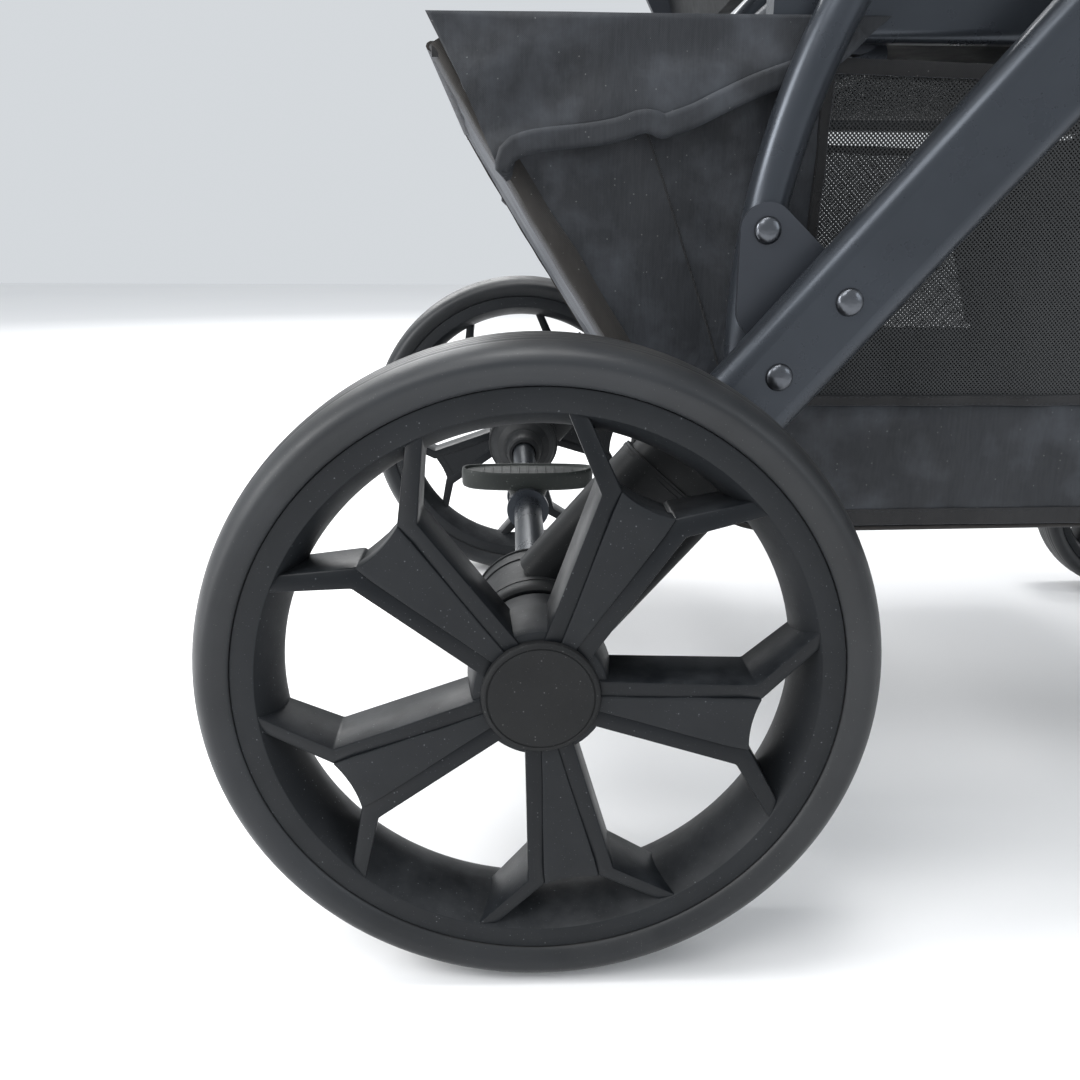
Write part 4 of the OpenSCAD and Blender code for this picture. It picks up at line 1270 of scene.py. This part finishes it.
# seat cushion: two thigh bolsters, cross channels and a crotch strap slot
def nearest(x, lines):
    """Distance of each x from the nearest of the lines."""
    return np.min(np.abs(x[:, None] - np.array(lines)[None]), axis=1)


def crown(a, bolster, width, middle, spread):
    """Lifts two bolsters, each (distance from the middle, height), and draws the middle in."""
    y, z = a[:, 1], a[:, 2]
    hi = np.clip(z / 20.0, 0, 1)
    a[:, 2] = z + hi * (bolster[1] * np.exp(-((np.abs(y) - bolster[0]) / width) ** 2)
                        - middle * np.exp(-(y / spread) ** 2))


def seat_shape(a):
    x, y = a[:, 0], a[:, 1]
    crown(a, (118, 2.2), 26.0, 2.4, 62.0)
    a = channel(a, np.where(np.abs(y) < 88, nearest(x, [-84, -42, 0, 42, 84]), 60), 2.6, 4.0, 14)
    a = channel(a, np.abs(np.abs(y) - 90), 3.0, 4.0, 14)
    return limit(a, (-125.8, -147.8, 0), (125.8, 147.8, 27.6))


def seat_place(a):
    return a + np.array([276, 0, 412.1])


SEAT = pad("seat_cushion_pad", (251, 295, 32, 27), (0.78, 5.0), 0.007, seat_shape, seat_place, "main_frame")
done(SEAT, "seat_cushion")


def piping(name, size, z, d, place, body, cushion):
    """A welt round a pad at height z, laid on the pad's own edge; size is (w, h, corner radius)."""
    ring = corners(*size, 9, last=False)
    ring = np.column_stack([ring, np.full(len(ring), z)])
    ring = resample(np.vstack([ring, ring[:1]]), 6.0)[:-1]
    skin = PAD_SHAPE[cushion]
    skin = skin[np.abs(skin[:, 2] - z) < 4.5, :2]
    for q in ring:
        q[:2] = skin[np.argmin(((skin - q[:2]) ** 2).sum(axis=1))]
    for _ in range(2):
        ring[:, :2] = (np.roll(ring, 1, 0) + 2 * ring + np.roll(ring, -1, 0))[:, :2] / 4
    p = place(ring)
    v, f = sweep(p, oval(d, d, 8), place(ring + np.array([0, 0, 1.0])) - p, closed=True)
    done(make(name, v, f, "hem", body, "seat_fabric", sharp=80))


piping("seat_welt", (249.5, 293.5, 30), 14.5, 3.2, seat_place, "main_frame", "seat_cushion_pad")


def turned(origin, angle, a):
    """From a frame turned by angle in the XZ plane, whose own axes are (u, v, w), to the design frame."""
    a = np.asarray(a, float)
    c, s = math.cos(angle), math.sin(angle)
    u, v, w = a[:, 0], a[:, 1], a[:, 2]
    return np.column_stack([origin[0] + u * c - w * s, v, origin[1] + u * s + w * c])


def back_place(a):
    """Back frame: u up the back, v across, w toward the child."""
    return turned(BACK, BACK_A, np.asarray(a, float) * np.array([1, -1, -1]))


def back_shape(a):
    x, y = a[:, 0], a[:, 1]
    crown(a, (116, 2.0), 24.0, 1.6, 70.0)
    a = channel(a, np.where(np.abs(y) < 92, nearest(x, [-140, -84, -28, 28, 84]), 60), 2.6, 4.2, 16)
    a = channel(a, np.where(x < 112, np.abs(np.abs(y) - 94), 60), 3.0, 4.0, 16)
    a = channel(a, np.abs(x - 114), 2.6, 4.2, 16)
    return limit(a, (-198, -145.8, 0.2), (198, 145.8, 28.6))


def back_pad_place(a):
    return back_place(a + np.array([230, 0, 4.3]))


BACKPAD = pad("back_pad_cover", (394, 290, 36, 28.5), (0.78, 5.0), 0.007, back_shape, back_pad_place,
              "backrest")
done(BACKPAD, "back_pad")
piping("back_welt", (392, 288, 34), 15.5, 3.2, back_pad_place, "backrest", "back_pad_cover")


def leg_pad_place(a):
    return turned(LEG_HINGE, LEG_REST_A, a + np.array([92, 0, -9.0]))


def leg_shape(a):
    y, z = a[:, 1], a[:, 2]
    a[:, 2] = z - np.clip(z / 12.0, 0, 1) * 0.8 * np.exp(-(y / 90.0) ** 2)
    a = channel(a, nearest(y, [-78, -26, 26, 78]), 2.4, 4.0, 9)
    return limit(a, (-74, -134.5, 0), (74, 134.5, 17.8))


LEG = pad("leg_rest_pad", (147, 269, 18, 17.5), (0.84, 4.0), 0.005, leg_shape, leg_pad_place, "leg_board")
done(LEG)
piping("leg_rest_welt", (146, 268, 16), 9.0, 3.0, leg_pad_place, "leg_board", "leg_rest_pad")


def leg_lugs():
    """Eyes that hold the leg rest on its rod, each with a stub that runs back into the rest."""
    parts = []
    x, z = LEG_HINGE
    eye = [(4.05, -7), (7.0, -7), (7.5, -6.5), (7.5, 6.5), (7.0, 7), (4.05, 7)]
    for side in (RIGHT, LEFT):
        v, f = lathe(eye, 32, (x, 127, z), side)
        parts.append(make("l", v, f, "plastic", "leg_board", "seat_fabric"))
        path = np.linspace((x + 2.6, side * 127, z - 4.6), (x + 11.5, side * 127, z - 20), 5)
        v, f = sweep(path, oval(13.5, 13.0, 16, 4), (0, 1, 0))
        parts.append(make("l", v, f, "plastic", sharp=50))
    done(join("leg_rest_lugs", parts), "leg_rest")


leg_lugs()


# ---------------------------------------------------------------- harness
def ribbon(name, path, width, t, normal, body):
    v, f = sweep(path, strip_profile(width, t, 0.5, 7), normal)
    return make(name, v, f, "web", body, "webbing", sharp=60)


def square_to(path):
    """The upward vectors square to a path, for a strap that lies flat across it."""
    t = tangents(path)
    return unit(np.cross(np.cross(t, (0, 0, 1.0)), t))


def shoulder_path(side, u0, u1, n, w):
    """The line of a shoulder strap up the back, w above the back frame, with a light wander."""
    us = np.linspace(u0, u1, n)
    ys, ws = 55 + 1.5 * np.sin(us / 60), w + 0.35 * np.sin(us / 17.0)
    return us, back_place(np.column_stack([us, side * ys, ws]))


def harness():
    """Shoulder straps with sleeves, waist straps with tongues, and the crotch strap."""
    out = np.diff(back_place([(0, 0, 0), (0, 0, 1)]), axis=0)[0]
    first = None
    for side, s in SIDES:
        path = shoulder_path(side, 62, 308, 40, 33.9)[1]
        strap = ribbon(f"shoulder_strap_{s}", path, 26, 1.5, out, "backrest")
        zigzag = back_place([(66 + 4 * i, side * (55 + 9 * (-1) ** i), 35.6) for i in range(6)])
        sewn = stitches(zigzag, out, 3.0, 2.0, 0.22, "backrest", "webbing", f"strap_stitch_{s}")
        # padded sleeve on the upper part of the strap
        us, path = shoulder_path(side, 168, 306, 30, 34.3)
        q = (us - us[0]) / (us[-1] - us[0])
        sc = 0.55 + 0.45 * np.minimum(1, np.minimum(q, 1 - q) * 9) ** 0.5
        v, f = sweep(path, oval(36, 2.6, 20, 3.2) + np.array([0, 1.35]), out, scale=sc)
        sleeve = make(f"strap_sleeve_{s}", v, f, "seat", "backrest", "seat_fabric", sharp=70)
        for o in (sleeve, strap, sewn):
            done(o)
        first = first or strap
    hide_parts("shoulder_straps")
    for side, s in SIDES:
        # from the seat's side in to the buckle, following the cushion
        path = spline([(238, 131, 440.2), (246, 108, 440.4), (256, 82, 440.3), (266, 56, 440.9),
                       (272, 40, 443.0), (274.5, 29, 447.5)], 7) * np.array([1, side, 1])
        done(ribbon(f"waist_strap_{s}", path, 25, 1.4, square_to(path), "main_frame"))
        # tongue that clips into the buckle
        v, f = sweep([(274, side * 39, 446.6), (275, side * 33, 448.2), (276, side * 26.4, 448.4)],
                     oval(22, 5.0, 16, 3.5), (0, 0, 1), scale=[0.95, 1.0, 0.9])
        done(make(f"buckle_tongue_{s}", v, f, "plastic", "main_frame", "dark_plastic", sharp=50))
    path = spline([(370, 0, 440.3), (350, 0, 440.5), (330, 0, 440.6), (316, 0, 441.4), (306, 0, 445.0),
                   (297.8, 0, 448.2)], 7)
    done(ribbon("crotch_strap", path, 27, 1.6, square_to(path), "main_frame"), "harness_lower")


harness()


# ---------------------------------------------------------------- canopy
def canopy_section(r_end, y_half, rc=34, sides=26, across=34):
    """Half of the section from the pivot out and over to the centre: (radius, y) pairs."""
    r_in, corner = 19, 9
    s = [(r_in + (r_end - rc - r_in) * i / sides, y_half) for i in range(sides)]
    for i in range(corner + 1):
        a = deg(90 * i / corner)
        s.append((r_end - rc + rc * math.sin(a), y_half - rc + rc * math.cos(a)))
    return s + [(r_end, (y_half - rc) * (1 - (i + 1) / (across // 2))) for i in range(across // 2)]


def mirrored(half):
    """Both halves of a section, joined at the centre point, which is the last one of the half."""
    return [(p, -q) for p, q in half] + half[-2::-1]


def canopy_panel(name, rear, front, body, seed):
    """Cloth stretched between two bows: it falls in a little between them, and ripples at the ends.
    rear and front are each (angle in degrees, radius, half width)."""
    rows = 31
    v = []
    for t in np.arange(rows) / (rows - 1):
        a, r, y = (p + (q - p) * t for p, q in zip(rear, front))
        dip = math.sin(math.pi * t) ** 0.85
        half = []
        for rr, yy in canopy_section(r, y):
            out = max(0.0, min(1.0, (rr - 60) / 120.0))
            top = max(0.0, min(1.0, (rr - (r - 30)) / 30.0))
            w = wob(a * 3.2, yy * (0.35 + top), rr * 0.8, 34, seed)
            w2 = wob(a * 7.5, yy * 0.4, rr * 0.5, 46, seed + 4)
            ripple = 0.5 * w2
            half.append((rr + top * dip * (0.9 * w + ripple - 4.6),
                         yy + (1 - top) * dip * out * (0.8 * w + ripple - 0.3 - 2.6)))
        c, s = math.cos(deg(a)), math.sin(deg(a))
        v += [(CANOPY[0] + p * c, q, CANOPY[1] + p * s) for p, q in mirrored(half)]
    o = make(name, metres(v), quads(rows, len(v) // rows), "seat", body, "seat_fabric", sharp=80)
    return solidify(o, 0.0010)


def canopy_at(a, r=200):
    """A point in metres, r from the canopy's pivot at angle a."""
    return tuple(metres((CANOPY[0] + r * math.cos(deg(a)), 0, CANOPY[1] + r * math.sin(deg(a)))))


CAN_R = canopy_panel("canopy_rear_cloth", (131.5, 267.9, 187.7), (84.2, 267.0, 187.3), "handle", 1.0)
canopy_at(131)
canopy_at(84.5)
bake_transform(CAN_R)
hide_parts("canopy_rear_panel")
CAN_F = canopy_panel("canopy_front_cloth", (81.6, 262.3, 182.3), (34.2, 260.6, 181.9), "canopy_mid", 6.0)
canopy_at(81)
canopy_at(34.5)
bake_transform(CAN_F)
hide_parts("canopy_front_panel")


def bow_sleeve(name, a, r, y, body):
    """Cloth tunnel round a bow: its arc over the top and most of the sides, and its stitching."""
    wide = 20
    half = [p for p in canopy_section(r, y, 32, 22, 30) if p[0] > r * 0.30]
    sec = resample(mirrored(half), 6.0)
    out = left_of(sec)
    if out[len(sec) // 2][0] < 0:
        out = -out
    c, s = math.cos(deg(a)), math.sin(deg(a))
    path = np.array([(CANOPY[0] + p * c, q, CANOPY[1] + p * s) for p, q in sec])
    out = np.array([(u * c, w, u * s) for u, w in out])
    v, f = sweep(path, oval(wide, 4.6, 18, 3.4) + np.array([0, -1.4]), out)
    done(make(name, v, f, "hem", body, "seat_fabric", sharp=70))
    along = np.array([(-s, 0, c)])
    done(join(name + "_stitching", [
        stitches(path + along * k * (wide / 2 - 2.6) + out * 0.95, out, 4.0, 2.6, 0.28, body, "seat_fabric")
        for k in (-1, 1)]))


bow_sleeve("canopy_sleeve_rear", 133, 271.6, 191.4, "handle")
bow_sleeve("canopy_sleeve_mid", 83, 266.2, 186.0, "canopy_mid")
bow_sleeve("canopy_sleeve_front", 33, 261.0, 180.6, "canopy_front")


# ---------------------------------------------------------------- grips, bumper bar
def handle_place(a):
    """Handle frame: u along the handle, v across, w square to both."""
    return turned(HUB, HANDLE_A, a)


def grips():
    """Foam sleeves on the push bar, with rolled ends and a shallow waist."""
    parts = []
    up = np.diff(handle_place([(0, 0, 0), (0, 0, 1)]), axis=0)[0]
    n = 32
    for side in (RIGHT, LEFT):
        ys = np.r_[158, np.linspace(157.2, 41.2, 40), 40.4]
        path = handle_place([(654, side * y, 0) for y in ys])
        q = np.linspace(0, 1, len(ys))
        sc = 0.94 + 0.06 * np.minimum(1, np.minimum(q, 1 - q) * 30) ** 0.5 - 0.012 * np.sin(q * math.pi)
        v, f = sweep(path, oval(28.5, 38.5, n, 2.8), up, scale=sc, caps=False)
        bore, _ = sweep(path[[0, -1]], oval(22.5, 32.5, n, 2.8), up, caps=False)
        last, inner = (len(path) - 1) * n, len(path) * n
        f += band(inner, inner + n, n) + band(0, inner, n) + band(last, inner + n, n)
        parts.append(make("g", np.vstack([v, bore]), f, "foam", "handle", "foam_cover", sharp=60))
        seam = handle_place([(654, side * y, -19.0) for y in np.linspace(152, 46, 60)])
        parts.append(stitches(seam, -up, 4.2, 2.8, 0.32))
    done(join("grip_sleeves", parts), "grip_foam")


grips()


def bumper():
    """Arms, bends and cross bar in a sewn foam cover, and the bare plugs that slide in the sockets."""
    tilt = deg(8)

    def at(uvw):
        return turned(HUB, tilt, uvw)
    arm = [(54.0 + i * 6.1, 160.0) for i in range(20)] + \
        [(176 + 50 * math.sin(deg(a)), 110 + 50 * math.cos(deg(a))) for a in np.linspace(4, 90, 14)]
    line = arm + [(226, y) for y in np.linspace(100, -100, 34)] + [(u, -y) for u, y in arm[::-1]]
    path = at([(u, y, 0) for u, y in line])
    up = np.array([-math.sin(tilt), 0, math.cos(tilt)])
    q = np.arange(len(path)) / (len(path) - 1)
    sc = 0.86 + 0.13 * np.minimum(1, np.minimum(q, 1 - q) * 40) ** 0.5
    v, f = sweep(path, oval(21.6, 21.6, 24), up, scale=sc)
    cover = make("bumper_cover", v, f, "foam", "bumper", "foam_cover", sharp=60)
    plug = [(0.0, 0), (6.3, 0), (7.0, 0.7), (7.0, 41.5), (0.0, 41.5)]
    parts = []
    for side in (RIGHT, LEFT):
        v = at([(12 + h, side * 160 + r * math.cos(a), r * math.sin(a))
                for a in np.arange(28) * 2 * math.pi / 28 for r, h in plug])
        parts.append(make("p", metres(v), quads(28, 5, True), "plastic", "bumper", "dark_plastic"))
    plugs = join("bumper_plugs", parts)
    seam = stitches(path[3:-3] + up * -10.85, -up, 3.6, 2.5, 0.3, "bumper", "foam_cover", "bumper_stitching")
    done(cover)
    done(plugs, "bumper_bar")
    done(seam)


bumper()


# ---------------------------------------------------------------- floor and light
def floor():
    """A pale floor, 12 m square."""
    me = bpy.data.meshes.new("floor")
    me.from_pydata([(-6, -6, 0), (6, -6, 0), (6, 6, 0), (-6, 6, 0)], [], [(0, 1, 2, 3)])
    m = Mat("floor_white", Specular_IOR_Level=0.2)
    col = m.mix(m.ramp(m.noise(1.2, 3), 0.3, 0.7), (0.86, 0.86, 0.865), (0.88, 0.88, 0.88))
    me.materials.append(m.finish(col, 0.75))
    add_object("floor", me)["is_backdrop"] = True


# name: place, point aimed at, size, power in watts, colour
LAMPS = {
    "key": ((-1.3, -1.6, 2.5), (0, 0, 0.3), (1.3, 1.0), 26, (1, 1, 1)),
    "low": ((-1.6, -0.9, 0.35), (0, -0.2, 0.15), (0.6, 0.5), 7, (1, 1, 1)),
    "side": ((-2.3, -0.5, 1.4), (0, 0, 0.3), (0.8, 1.0), 34, (1, 1, 1)),
    "fill": ((2.0, -1.6, 1.4), (0, 0, 0.35), (1.2, 1.4), 14, (0.90, 0.95, 1.0)),
    "top": ((-0.1, 0.1, 3.0), (0, 0, 0.3), (1.8, 1.0), 80, (1, 1, 1)),
    "back": ((-1.0, 2.4, 1.9), (0, 0, 0.4), (1.8, 1.4), 45, (1, 1, 1)),
}


def light():
    """A pale blue surround and six soft lamps."""
    scene.world = bpy.data.worlds.new("studio")
    scene.world.use_nodes = True
    surround = scene.world.node_tree.nodes["Background"]
    surround.inputs["Color"].default_value = (0.92, 0.96, 1.0, 1)
    surround.inputs["Strength"].default_value = 0.72
    scene.view_settings.view_transform = "Standard"
    for name, (place, aim, size, power, color) in LAMPS.items():
        lamp = bpy.data.lights.new(name, "AREA")
        lamp.shape = "RECTANGLE"
        lamp.size, lamp.size_y = size
        lamp.energy = power
        lamp.color = color
        o = add_object(name, lamp)
        o.location = place
        o.rotation_euler = (Vector(aim) - Vector(place)).to_track_quat("-Z", "Y").to_euler()


floor()
light()

bpy.context.view_layer.update()
({"cad": [[float(x) for x in c] for c in CAD_BOX],
           "visual": [[float(x) for x in c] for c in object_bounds()]})
